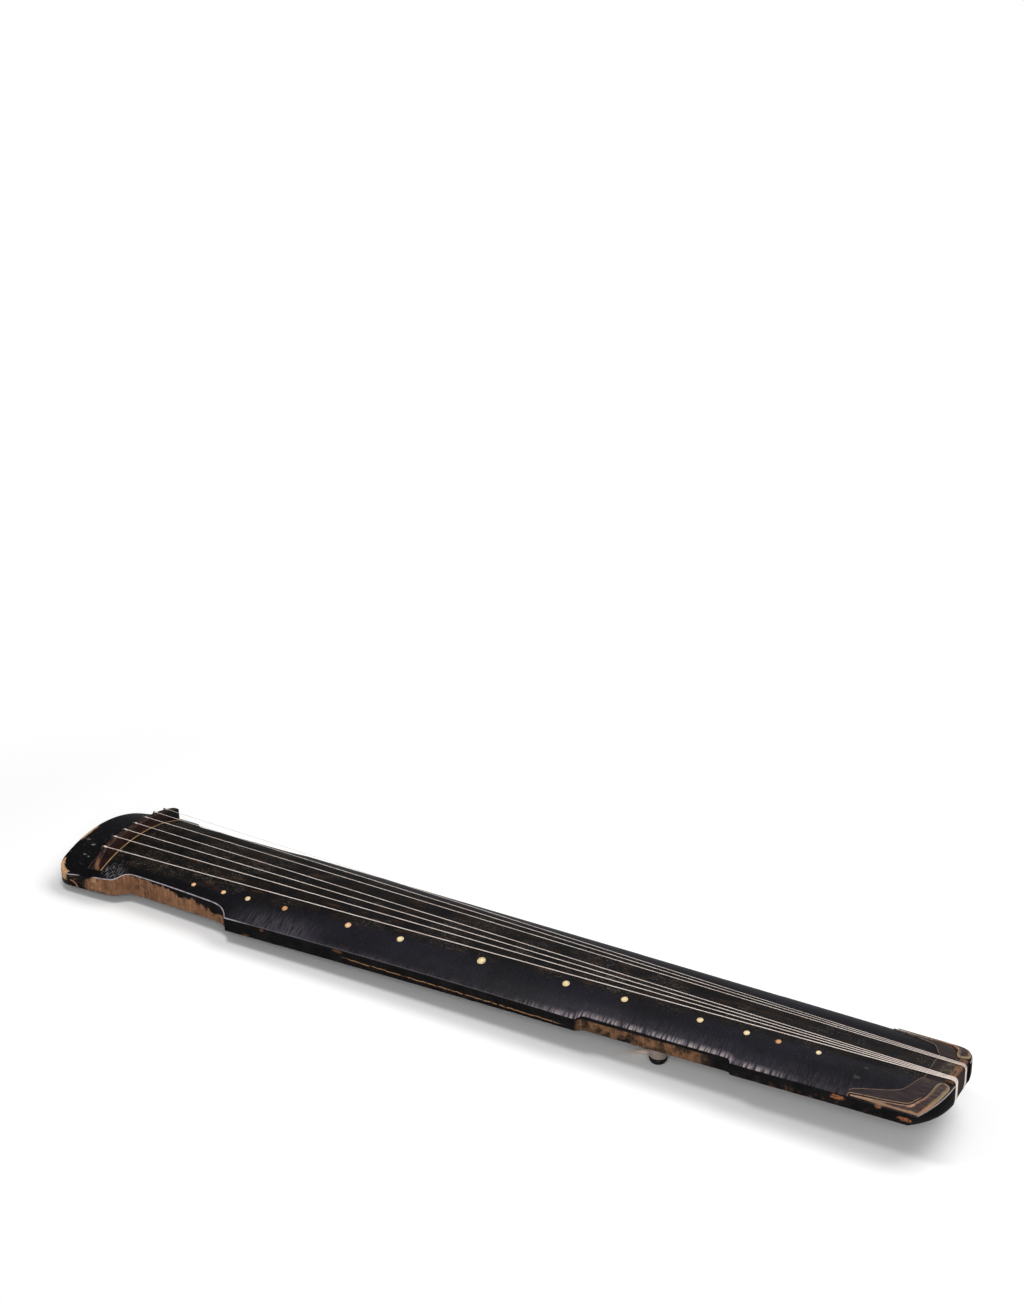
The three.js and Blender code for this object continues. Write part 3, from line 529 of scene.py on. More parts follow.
# ---- bridge and the strip of string holes behind it
def arched_bar(x_low, x_high, half, low_of, top_of, steps, round_top, segments=2):
    """A bar across the body that follows its arch, with the long edges of its top rounded."""
    bm = block(x_low, x_high, -half, half, 0, 1)
    lengthwise = [edge for edge in bm.edges if abs(edge.verts[0].co.y - edge.verts[1].co.y) > half]
    bmesh.ops.subdivide_edges(bm, edges=lengthwise, cuts=steps, use_grid_fill=True)
    top = {vert for vert in bm.verts if vert.co.z > 0.5}
    for vert in bm.verts:
        vert.co.z = (top_of if vert in top else low_of)(vert.co.x, vert.co.y)
    bm.normal_update()

    def on_rim(edge):
        upward = [abs(face.normal.y) < 0.9 and face.normal.z > 0.3 for face in edge.link_faces]
        return top.issuperset(edge.verts) and sum(upward) == 1
    softened(bm, [edge for edge in bm.edges if on_rim(edge)], round_top, segments)
    return bm


def bridge():
    bm = arched_bar(-BRIDGE_WIDTH, 0, BRIDGE_LENGTH_HALF, over_board(GAP), lambda x, y: bridge_top(y),
                    BAR_STEPS, BRIDGE_ROUND, 4)
    return finished(bm, "bridge", "waxed")


def string_hole_strip():
    front = -BRIDGE_WIDTH - GAP
    bm = arched_bar(front - STRIP_WIDTH, front, STRIP_HALF, over_board(LAID_ON),
                    over_board(GAP + STRIP_THICK), BAR_STEPS, STRIP_EASE)
    return finished(cut(bm, string_holes()), "string_hole_strip", "waxed", recalc=False)


def bridge_foot_line():
    """The pale line inlaid along the front of the bridge."""
    bm = arched_bar(LINE_START, LINE_END, BRIDGE_LENGTH_HALF - 1, over_board(LINE_SUNK),
                    over_board(LINE_PROUD), BAR_STEPS, LINE_EASE)
    return finished(bm, "bridge_foot_line", None)


# ---- studs
STUD_THICK = 1.2
STUD_PROUD = 0.2
STUD_DOME = 0.12
STUD_EASE = 0.3
DOME_RING = 0.28


def stud(index):
    x, y, radius = stud_place(index)
    slope_x = (board_height(x + 1, y) - board_height(x - 1, y)) / 2
    slope_y = (board_height(x, y + 1) - board_height(x, y - 1)) / 2
    up = Vector((-slope_x, -slope_y, 1)).normalized()
    bm = drum(bmesh.new(), radius, STUD_THICK, 32)
    softened(bm, [edge for edge in bm.edges if all(vert.co.z > 0 for vert in edge.verts)], STUD_EASE, 2)
    caps = [face for face in bm.faces if face.normal.z > 0.9]
    for _ in range(3):
        bmesh.ops.inset_region(bm, faces=caps, thickness=radius * DOME_RING, use_even_offset=True)
    for vert in bm.verts:
        if vert.co.z > 0.5:
            vert.co.z += STUD_DOME * (1 - (Vector(vert.co.xy).length / radius) ** 2)
    turn = Vector((0, 0, 1)).rotation_difference(up).to_matrix().to_4x4()
    lift = up * (STUD_PROUD - STUD_THICK / 2)
    bm.transform(Matrix.Translation(Vector((x, y, board_height(x, y))) + lift) @ turn)
    return finished(bm, f"stud_{index + 1}", "shell")


# ---- tail: plate, nut and its support, two-tier crowns
PLATE_X = CROWN_X + CROWN_LENGTH * 0.659
PLATE_THICK, PLATE_EASE = 1, 0.35


def tail_plate():
    bm = arched_bar(PLATE_X, NUT_X - GAP, NUT_HALF, over_board(LAID_ON), over_board(GAP + PLATE_THICK),
                    24, PLATE_EASE)
    return finished(bm, "tail_plate", "worn")


def nut():
    bm = block(NUT_X, END_FACE_X, -NUT_HALF, NUT_HALF, NUT_SEAT + GAP, NUT_TOP)
    bm.normal_update()

    def top_edges(at_back):
        return [edge for edge in bm.edges if edge.calc_length() > NUT_HALF
                and all((v.co.x > NUT_X + 1) == at_back and v.co.z > NUT_TOP - 1 for v in edge.verts)]
    softened(bm, top_edges(True), NUT_ROUND, 8)
    softened(bm, top_edges(False), NUT_EASE, 2)
    return finished(bm, "nut", "worn")


def tail_support():
    bm = block(NUT_X, END_FACE_X, -NUT_HALF, NUT_HALF, 0, NUT_SEAT)
    low_back = [edge for edge in bm.edges if all(v.co.x > NUT_X + 1 and v.co.z < 1 for v in edge.verts)]
    softened(bm, low_back, END_ROUND, 10)
    return finished(bm, "tail_support", "waxed")


# Places on a crown: share of its length, and share of the way from the nut to the body's edge
BASE_LINE = [(0.012, 0.89), (0.04, 0.845), (0.112, 0.793), (0.306, 0.676), (0.402, 0.616), (0.493, 0.531),
             (0.533, 0.456), (0.566, 0.34), (0.6, 0.19), (0.63, 0.06), (0.659, 0)]
RIM_LINE = [(0.045, 1.01), (0.15, 0.985), (0.353, 0.944), (0.556, 0.892), (0.634, 0.855), (0.677, 0.8),
            (0.705, 0.72), (0.756, 0.594), (0.791, 0.43), (0.809, 0.219), (0.824, 0.122), (0.846, 0.06)]
LOBE_LINE = [(0.777, 0.952), (0.822, 0.853), (0.863, 0.731), (0.912, 0.529), (0.938, 0.368),
             (0.955, 0.248), (0.952, 0.136), (0.922, 0.079), (0.885, 0.045)]
BASE_BEND, RIM_BEND = (0.5, 0.52), (0.69, 0.77)
BEND_AT = 0.6
BASE_INSET = 0.2
CROWN_STEPS = 150, 44


def crown_place(a, o):
    inner = NOTCH_HALF + GAP
    return Vector((CROWN_X + CROWN_LENGTH * a, inner + (TAIL_HALF - inner) * o))


def crown_line(shares):
    return respaced(curved([crown_place(*pair) for pair in shares]), 1)


def side_edge(start_x, inset, short):
    """The body's edge from the side at start_x to a little short of the tail corner."""
    places = [start_x + (CORNER_X - start_x) * step / 12 for step in range(13)]
    slope = (TAIL_HALF - CROWN_HALF) / (CORNER_X - CROWN_X)
    line = [Vector((x, CROWN_HALF + slope * (x - CROWN_X) - inset)) for x in places]
    line[-1].x -= short
    return line


def line_length(line):
    return sum((b - a).length for a, b in zip(line, line[1:]))


RIM_INNER, RIM_LOBE, BASE_INNER = crown_line(RIM_LINE), crown_line(LOBE_LINE), crown_line(BASE_LINE)
RIM_SIDE = side_edge(RIM_INNER[0].x, 0.3, 0.4)
BASE_SIDE = side_edge(CROWN_X, BASE_INSET, BASE_INSET)
BASE_HALF = TAIL_HALF - BASE_INSET
END_YS = [BASE_HALF - (BASE_HALF - BASE_INNER[-1].y) * step / 20 for step in range(1, 21)]
BASE_END = [Vector((end_of_body(y) - BASE_INSET, y)) for y in END_YS]


def crown(node, sign, inner, side_part, end_part, bend_shares, low, thick, roll, pillow):
    """A band between an inner and an outer line, laid on the arched board, its edges rolled over."""
    bend = crown_place(*bend_shares)
    nearest = min(range(len(inner)), key=lambda index: (inner[index] - bend).length)
    bend_share = nearest / (len(inner) - 1)
    outer = respaced(side_part + end_part, 1)
    corner_share = line_length(side_part) / line_length(side_part + end_part)
    trees = [tree_of(respaced(line, NEAREST_SPACING)) for line in (inner, outer, RIM_INNER)]
    to_border = tree_of(respaced(inner + outer[::-1] + inner[:1], NEAREST_SPACING))
    bm = bmesh.new()
    along_steps, across_steps = CROWN_STEPS
    grid = bmesh.ops.create_grid(bm, x_segments=along_steps, y_segments=across_steps, size=1)["verts"]
    band = bm.loops.layers.uv.new("band")
    groove = bm.loops.layers.uv.new("groove")
    spot = {}
    for vert in grid:
        s, w = (vert.co.x + 1) / 2, (vert.co.y + 1) / 2
        if s < BEND_AT:
            inner_share, outer_share = s / BEND_AT * bend_share, s / BEND_AT * corner_share
        else:
            t = (s - BEND_AT) / (1 - BEND_AT)
            inner_share = bend_share + t * (1 - bend_share)
            outer_share = corner_share + t * (1 - corner_share)
        point = point_along(inner, inner_share).lerp(point_along(outer, outer_share), w)
        flat = (point.x, point.y, 0)
        crest = 1 - (1 - min(to_border.find(flat)[2] / roll, 1)) ** 2
        spot[vert] = [tree.find(flat)[2] / MAP_UNIT for tree in trees] + [s]
        height = board_height(point.x, point.y) + low + thick - pillow * (1 - crest)
        vert.co = (point.x, sign * point.y, height)
    for face in bm.faces:
        for loop in face.loops:
            from_inner, from_outer, from_rim, s = spot[loop.vert]
            loop[band].uv = (from_inner, from_outer)
            loop[groove].uv = (from_rim, s)
    _, foot = dropped(bm, over_board(low))
    bmesh.ops.holes_fill(bm, edges=foot, sides=0)
    bmesh.ops.triangulate(bm, faces=[face for face in bm.faces if len(face.verts) > 4])
    return finished(bm, node, "worn", smooth_angle=50)


# ---- strings and cords
LOOSE_LENGTHS = [27, 33, 30, 38, 16, 19, 17]
LOOSE_SPLAYS = [-4, 3, -9, -14, 2, -3, 4]
LOOSE_DROPS = [0.6, 0.9, 1.2, 3.4, 0.5, 0.8, 1.1]
LOOSE_KEPT = 0.3
WINDING_DROPS = {-1: 1.9, 1: 6.2}
TURN_GAP = 0.46
NEIGHBOUR_GAP = 0.25
TURN_STEPS = 48
KNOT_LENGTH = 3.2
KNOT_START = BRIDGE_ROUND - BRIDGE_WIDTH
KNOT_REACH, KNOT_SWELL = 5.5, 2.4
WOUND_BELOW, WOUND_SWELL = -2.6, 2.1
DRAWN_RADIUS = 0.31
SILK_RADIUS = 1
FIBRES, FIBRE_STEPS, FIBRE_RADIUS = 9, 9, 0.0002
WELD = 0.0000005


def arc(x, z, y, radius, start, end, steps):
    angles = [start + (end - start) * i / steps for i in range(steps + 1)]
    return [Vector((x + radius * math.cos(a), y, z + radius * math.sin(a))) for a in angles]


def string_routes():
    """Each string's line: knot, span, nut, tail end, underside, turns round the foot, loose end."""
    tops = {sign: -drop for sign, drop in WINDING_DROPS.items()}
    for index, diameter in enumerate(STRING_DIAMETERS):
        radius, y, nut_y = diameter / 2, STRING_YS[index], NUT_YS[index]
        sign, turns = (-1, 3) if index < NEAR_COUNT else (1, 4)
        off = radius + GAP
        knot_z = bridge_top(y) + off
        line = [Vector((KNOT_START + KNOT_LENGTH * share, y, knot_z)) for share in (0, 0.3, 0.7, 1)]
        line += [Vector((-BRIDGE_ROUND, y, knot_z)), Vector((NUT_X, nut_y, NUT_TOP + off))]
        quarter = math.pi / 2
        line += arc(END_FACE_X - NUT_ROUND, NUT_TOP - NUT_ROUND, nut_y, NUT_ROUND + off, quarter, 0, 12)
        line += arc(END_FACE_X - END_ROUND, END_ROUND, nut_y, END_ROUND + off, 0, -quarter, 14)
        pitch = diameter + TURN_GAP
        coil_radius = FOOT_NECK + off
        top = tops[sign] - radius
        tops[sign] = top - (turns - 1) * pitch - radius - NEIGHBOUR_GAP
        foot_y = sign * FOOT_Y
        for step in range(turns * TURN_STEPS + 1):
            angle = -sign * (quarter + 2 * math.pi * step / TURN_STEPS)
            line.append(Vector((FOOT_X + coil_radius * math.cos(angle),
                                foot_y + coil_radius * math.sin(angle), top - pitch * step / TURN_STEPS)))
        last = line[-1]
        length, splay = (lengths[index] * LOOSE_KEPT for lengths in (LOOSE_LENGTHS, LOOSE_SPLAYS))
        for share in (0.2, 0.4, 0.6, 0.8, 1):
            line.append(last + Vector((-length * share, splay * share ** 2, -LOOSE_DROPS[index] * share)))
        yield line


def string_swell(travelled, point):
    """How much thicker a string is drawn: at its knot, and where it is wound on the foot."""
    if travelled <= KNOT_REACH:
        return 1 + (KNOT_SWELL - 1) * math.sin(math.pi * travelled / KNOT_REACH) ** 0.5
    return WOUND_SWELL if point.z < WOUND_BELOW else 1


def laid_section(lobes, radius, depth, sides):
    """The section of a laid cord: a ring with one bulge for each strand."""
    data = bpy.data.curves.new("section", "CURVE")
    data.dimensions = "2D"
    spline = data.splines.new("POLY")
    spline.points.add(sides - 1)
    for index in range(sides):
        angle = 2 * math.pi * index / sides
        r = radius * (1 - depth * (0.5 - 0.5 * math.cos(lobes * angle)))
        spline.points[index].co = (r * math.cos(angle), r * math.sin(angle), 0, 1)
    spline.use_cyclic_u = True
    return in_scene("section", data)


def drawn_out(data, name):
    """The mesh of a bevelled curve as one closed piece that faces outwards."""
    rough = in_scene("rough", data)
    mesh = bpy.data.meshes.new_from_object(rough.evaluated_get(bpy.context.evaluated_depsgraph_get()))
    bpy.data.objects.remove(rough, do_unlink=True)
    bm = bmesh.new()
    bm.from_mesh(mesh)
    bpy.data.meshes.remove(mesh)
    bmesh.ops.remove_doubles(bm, verts=bm.verts, dist=WELD)
    bmesh.ops.holes_fill(bm, edges=[edge for edge in bm.edges if edge.is_boundary], sides=0)
    bmesh.ops.recalc_face_normals(bm, faces=bm.faces)
    mesh = as_mesh(bm, name)
    for polygon in mesh.polygons:
        polygon.use_smooth = True
    piece = in_scene(name, mesh)
    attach(piece, INSTRUMENT)
    return piece


def cord(node, look, line, radius, lay_length, lobes, spacing, sides, depth, swell_of):
    """A laid cord along a line in body millimetres, its strands turning once each lay_length."""
    points = respaced(line, spacing)
    data = bpy.data.curves.new(node, "CURVE")
    data.dimensions, data.twist_mode = "3D", "MINIMUM"
    section = laid_section(lobes, radius / 1000, depth, sides)
    data.bevel_mode, data.bevel_object, data.use_fill_caps = "OBJECT", section, True
    spline = data.splines.new("POLY")
    spline.points.add(len(points) - 1)
    travelled = 0
    for index, point in enumerate(points):
        if index:
            travelled += (point - points[index - 1]).length
        knot = spline.points[index]
        knot.co = (*(AS_ROW @ point), 1)
        knot.tilt = 2 * math.pi * travelled / lay_length
        knot.radius = swell_of(travelled, point)
    piece = drawn_out(data, f"{node}_{look}")
    bpy.data.objects.remove(section, do_unlink=True)
    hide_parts(node)
    return piece


def silk_route(index):
    """A loop's line: back over the bridge, then down its string hole into the peg."""
    y = STRING_YS[index]
    hole_top = board_height(PEG_X, y) + GAP + STRIP_THICK
    start_x = KNOT_START - GAP
    bend = start_x + BRIDGE_WIDTH + SILK_RADIUS + GAP
    line = arc(start_x, bridge_top(y) + SILK_RADIUS + GAP - bend, y, bend, math.pi / 2, math.pi, 8)
    return line + [Vector((PEG_X + SILK_RADIUS, y, hole_top + 3 * SILK_RADIUS)),
                   Vector((PEG_X, y, hole_top + SILK_RADIUS)), Vector((PEG_X, y, 3))]


def frayed_ends(routes):
    """Loose silk fibres that fan out from the cut ends of the strings."""
    draw = random.Random(7)
    for name, sign in SIDES.items():
        data = bpy.data.curves.new("fray", "CURVE")
        data.dimensions = "3D"
        data.bevel_depth, data.bevel_resolution = FIBRE_RADIUS, 1
        for index in [i for i in range(7) if (i < NEAR_COUNT) == (sign < 0)]:
            start = routes[NEAR_COUNT - 1 if sign < 0 else index][-6]
            direction = Vector((-1, 0.34 * sign, -0.1))
            for _ in range(FIBRES):
                spline = data.splines.new("POLY")
                spline.points.add(FIBRE_STEPS)
                reach = draw.uniform(0.7, 1.4) * LOOSE_LENGTHS[index]
                side = Vector((0, draw.uniform(-0.3, 0.25), draw.uniform(-0.2, 0.06)))
                for step in range(FIBRE_STEPS + 1):
                    t = step / FIBRE_STEPS
                    place = start + direction * reach * t + side * reach * t ** 1.7
                    place.z = max(place.z, -FOOT_HEIGHT + 4)
                    spline.points[step].co = (*(AS_ROW @ place), 1)
                    spline.points[step].radius = 1.15 - 0.8 * t
        yield drawn_out(data, f"frayed_silk_{name}")


# ---- turned parts
def spun(profile, steps):
    """A closed turned form from its outline of radius and height."""
    bm = bmesh.new()
    verts = [bm.verts.new((radius, 0, height)) for radius, height in profile]
    edges = [bm.edges.new(pair) for pair in zip(verts, verts[1:])]
    bmesh.ops.spin(bm, geom=verts + edges, cent=(0, 0, 0), axis=(0, 0, 1), angle=2 * math.pi,
                   steps=steps, use_merge=True)
    bmesh.ops.remove_doubles(bm, verts=bm.verts, dist=0.001)
    bmesh.ops.recalc_face_normals(bm, faces=bm.faces)
    return bm


def floor_cut(bm):
    """Cuts a form in body millimetres flat where it meets the floor, and closes it."""
    to_body = AS_ROW.inverted()
    normal = (to_body.to_3x3() @ Vector((0, 0, 1))).normalized()
    made = bmesh.ops.bisect_plane(bm, geom=[*bm.verts, *bm.edges, *bm.faces], clear_inner=True,
                                  plane_co=to_body @ Vector((0, 0, 0)), plane_no=normal)
    bmesh.ops.holes_fill(bm, edges=only(bmesh.types.BMEdge, made["geom_cut"]), sides=0)


def goose_foot(name, sign):
    sole = -FOOT_HEIGHT - BELOW_FLOOR
    dome = curved([(6.4, sole), (9.1, sole + 2.2), (10.3, sole + 4.7), (10.6, sole + 7.2),
                   (9.9, sole + 7.9), (FOOT_NECK, sole + 8.4)], 6)
    bm = spun([(0, sole), *dome, (FOOT_NECK, -4), (FOOT_NECK, -GAP), (0, -GAP)], 56)
    block(-TENON_HALF, TENON_HALF, -TENON_HALF, TENON_HALF, -GAP - 0.4, TENON_TOP, bm)
    bm.transform(Matrix.Translation((FOOT_X, sign * FOOT_Y, 0)))
    floor_cut(bm)
    return finished(bm, f"goose_foot_{name}", "polished", recalc=False)


def peg_guard(name, sign):
    y, half_length, half_width, taper = sign * GUARD_Y, 10, 9, 0.78
    bm = block(GUARD_X - half_length, GUARD_X + half_length, y - half_width, y + half_width,
               -GUARD_HEIGHT - BELOW_FLOOR, -GAP)
    low = {vert for vert in bm.verts if vert.co.z < -GUARD_HEIGHT}
    for vert in low:
        vert.co.y = y + (vert.co.y - y) * taper
    softened(bm, [edge for edge in bm.edges if low.issuperset(edge.verts) or rises(edge) > 5], 1.6, 4)
    floor_cut(bm)
    return finished(bm, f"peg_guard_{name}", "waxed", recalc=False)


def peg(index):
    y = STRING_YS[index]
    top, bottom = POOL_DEPTH - GAP - PEG_PLATE_THICK - GAP, -9
    bore, bore_floor = 2.3, 1.5
    hole_radius, hole_depth, hole_z = 1.5, 15, 3
    profile = [(0, bottom), (4.6, bottom), (5.4, bottom + 0.4), (6.3, bottom + 1.2), (6.6, bottom + 2.4),
               (6.5, bottom + 4.5), (6.1, bottom + 6.2), (5.5, -1.4), (5.2, 0), (5.2, 3.5),
               (5.25, top - 8), (5.9, top - 6.4), (6.8, top - 5), (7.3, top - 4), (7.5, top - 2.6),
               (7.5, top - 0.3), (7.2, top), (bore, top), (bore, bore_floor), (0, bore_floor)]
    bm = spun(profile, 40)
    bm.transform(Matrix.Translation((PEG_X, y, 0)))
    at_side = Matrix.Translation((PEG_X, y + hole_depth / 2, hole_z)) @ Matrix.Rotation(math.pi / 2, 4, "X")
    side_hole = drum(bmesh.new(), hole_radius, hole_depth, 16, at_side)
    name = f"peg_{index + 1}"
    return finished(cut(bm, side_hole), name, "polished", body=name, recalc=False)


# ---- finishes
class Value:
    """A shader socket that sums, products and powers can be written with."""

    def __init__(self, nodes, socket):
        self.nodes, self.socket = nodes, socket

    def maths(self, operation, *others):
        sockets = dict(enumerate([self, *others]))
        return self.nodes.node("ShaderNodeMath", {"operation": operation}, sockets)

    def least(self, other):
        return self.maths("MINIMUM", other)

    def most(self, other):
        return self.maths("MAXIMUM", other)

    def part(self):
        return self.maths("FRACT")

    def above(self, low, high):
        """0 below low, 1 above high, smooth between; low may be the larger."""
        if low > high:
            return 1 - self.above(high, low)
        return self.nodes.node("ShaderNodeMapRange", {"interpolation_type": "SMOOTHSTEP"},
                               {"Value": self, "From Min": low, "From Max": high})

    def between(self, low, high, soft):
        return self.above(low - soft, low + soft) * self.above(high + soft, high - soft)

    def parts(self):
        """x, y and z of a vector."""
        split = self.nodes.node("ShaderNodeSeparateXYZ", sockets={0: self}).socket.node
        return [Value(self.nodes, output) for output in split.outputs]

    def __abs__(self):
        return self.maths("ABSOLUTE")


def give_operator(symbol, operation):
    """Lets values be written with an operator, also where a plain number comes first."""
    def forward(value, other):
        return value.maths(operation, other)

    def reflected(value, other):
        return value.nodes.node("ShaderNodeMath", {"operation": operation}, {0: other, 1: value})
    setattr(Value, f"__{symbol}__", forward)
    setattr(Value, f"__r{symbol}__", reflected)


for symbol, operation in {"add": "ADD", "sub": "SUBTRACT", "mul": "MULTIPLY", "truediv": "DIVIDE",
                          "pow": "POWER"}.items():
    give_operator(symbol, operation)


def colour(red, green, blue):
    """A colour as a paint chart gives it, in 255ths, made linear."""
    def linear(c):
        c /= 255
        return c / 12.92 if c <= 0.04045 else ((c + 0.055) / 1.055) ** 2.4
    return linear(red), linear(green), linear(blue)


class Nodes:
    """A node tree that nodes are added to."""

    def __init__(self, tree):
        self.tree = tree

    def feed(self, socket, value):
        if isinstance(value, Value):
            self.tree.links.new(value.socket, socket)
        elif hasattr(value, "__len__") and socket.type == "RGBA" and len(value) == 3:
            socket.default_value = (*value, 1)
        else:
            socket.default_value = value

    def node(self, kind, settings=None, sockets=None, out=0):
        made = self.tree.nodes.new(kind)
        for key, value in (settings or {}).items():
            setattr(made, key, value)
        for key, value in (sockets or {}).items():
            self.feed(made.inputs[key], value)
        return Value(self, made.outputs[out])

    def mix(self, amount, first, second):
        return self.node("ShaderNodeMix", {"data_type": "RGBA"}, {0: amount, 6: first, 7: second}, 2)

    def ray(self, kind):
        return self.node("ShaderNodeLightPath", out=f"Is {kind} Ray")

    def seen_as(self, output, amount, lit, seen):
        """Ends the tree in a mix of what is lit and what the camera is shown."""
        mixed = self.node("ShaderNodeMixShader", sockets={0: amount, 1: Value(self, lit), 2: seen})
        self.feed(self.tree.nodes[output].inputs["Surface"], mixed)


class Finish(Nodes):
    """A node material that starts as one principled shader."""

    def __init__(self, name, **settings):
        self.material = bpy.data.materials.new(name)
        self.material.use_nodes = True
        super().__init__(self.material.node_tree)
        self.shader = self.tree.nodes["Principled BSDF"]
        self.set(**settings)

    def set(self, **settings):
        for key, value in settings.items():
            self.feed(self.shader.inputs[key.replace("_", " ")], value)

    def coated(self, base, roughness, relief, strength=0.35, distance=0.0003):
        """The material, once its colour, roughness and relief are on its shader."""
        sockets = {"Height": relief, "Strength": strength, "Distance": distance}
        self.set(Base_Color=base, Roughness=roughness, Normal=self.node("ShaderNodeBump", sockets=sockets))
        return self.material

    def body(self):
        """x, y and z in body millimetres, which noise() is read at."""
        turn = Matrix.Rotation(TILT, 3, "Y")
        self.spot = self.node("ShaderNodeMapping", sockets={
            "Vector": self.node("ShaderNodeTexCoord", out="Object"), "Location": -(turn @ PLACE),
            "Rotation": (0, TILT, 0), "Scale": (1000,) * 3})
        return self.spot.parts()

    def facing(self):
        """The surface's direction in the object's frame: x, y and z."""
        return self.node("ShaderNodeTexCoord", out="Normal").parts()

    def stored(self, name):
        """The two distances, in millimetres, kept in one of the mesh's own UV maps."""
        return [part * MAP_UNIT for part in self.node("ShaderNodeUVMap", {"uv_map": name}).parts()[:2]]

    def noise(self, scale, detail=3, roughness=0.55):
        """Noise over the body, with so much of its pattern in each millimetre, or along x, y and z."""
        vector = self.spot
        if isinstance(scale, tuple):
            vector, scale = self.node("ShaderNodeMapping", sockets={"Vector": vector, "Scale": scale}), 1
        sockets = {"Vector": vector, "Scale": scale, "Detail": detail, "Roughness": roughness}
        return self.node("ShaderNodeTexNoise", sockets=sockets)

    def paint(self, under, *layers):
        """A colour with others laid over it, each where its mask is 1. Colours are sockets or 255ths."""
        for mask, over in layers:
            pair = [tone if isinstance(tone, Value) else colour(*tone) for tone in (under, over)]
            under = self.mix(mask, *pair)
        return under


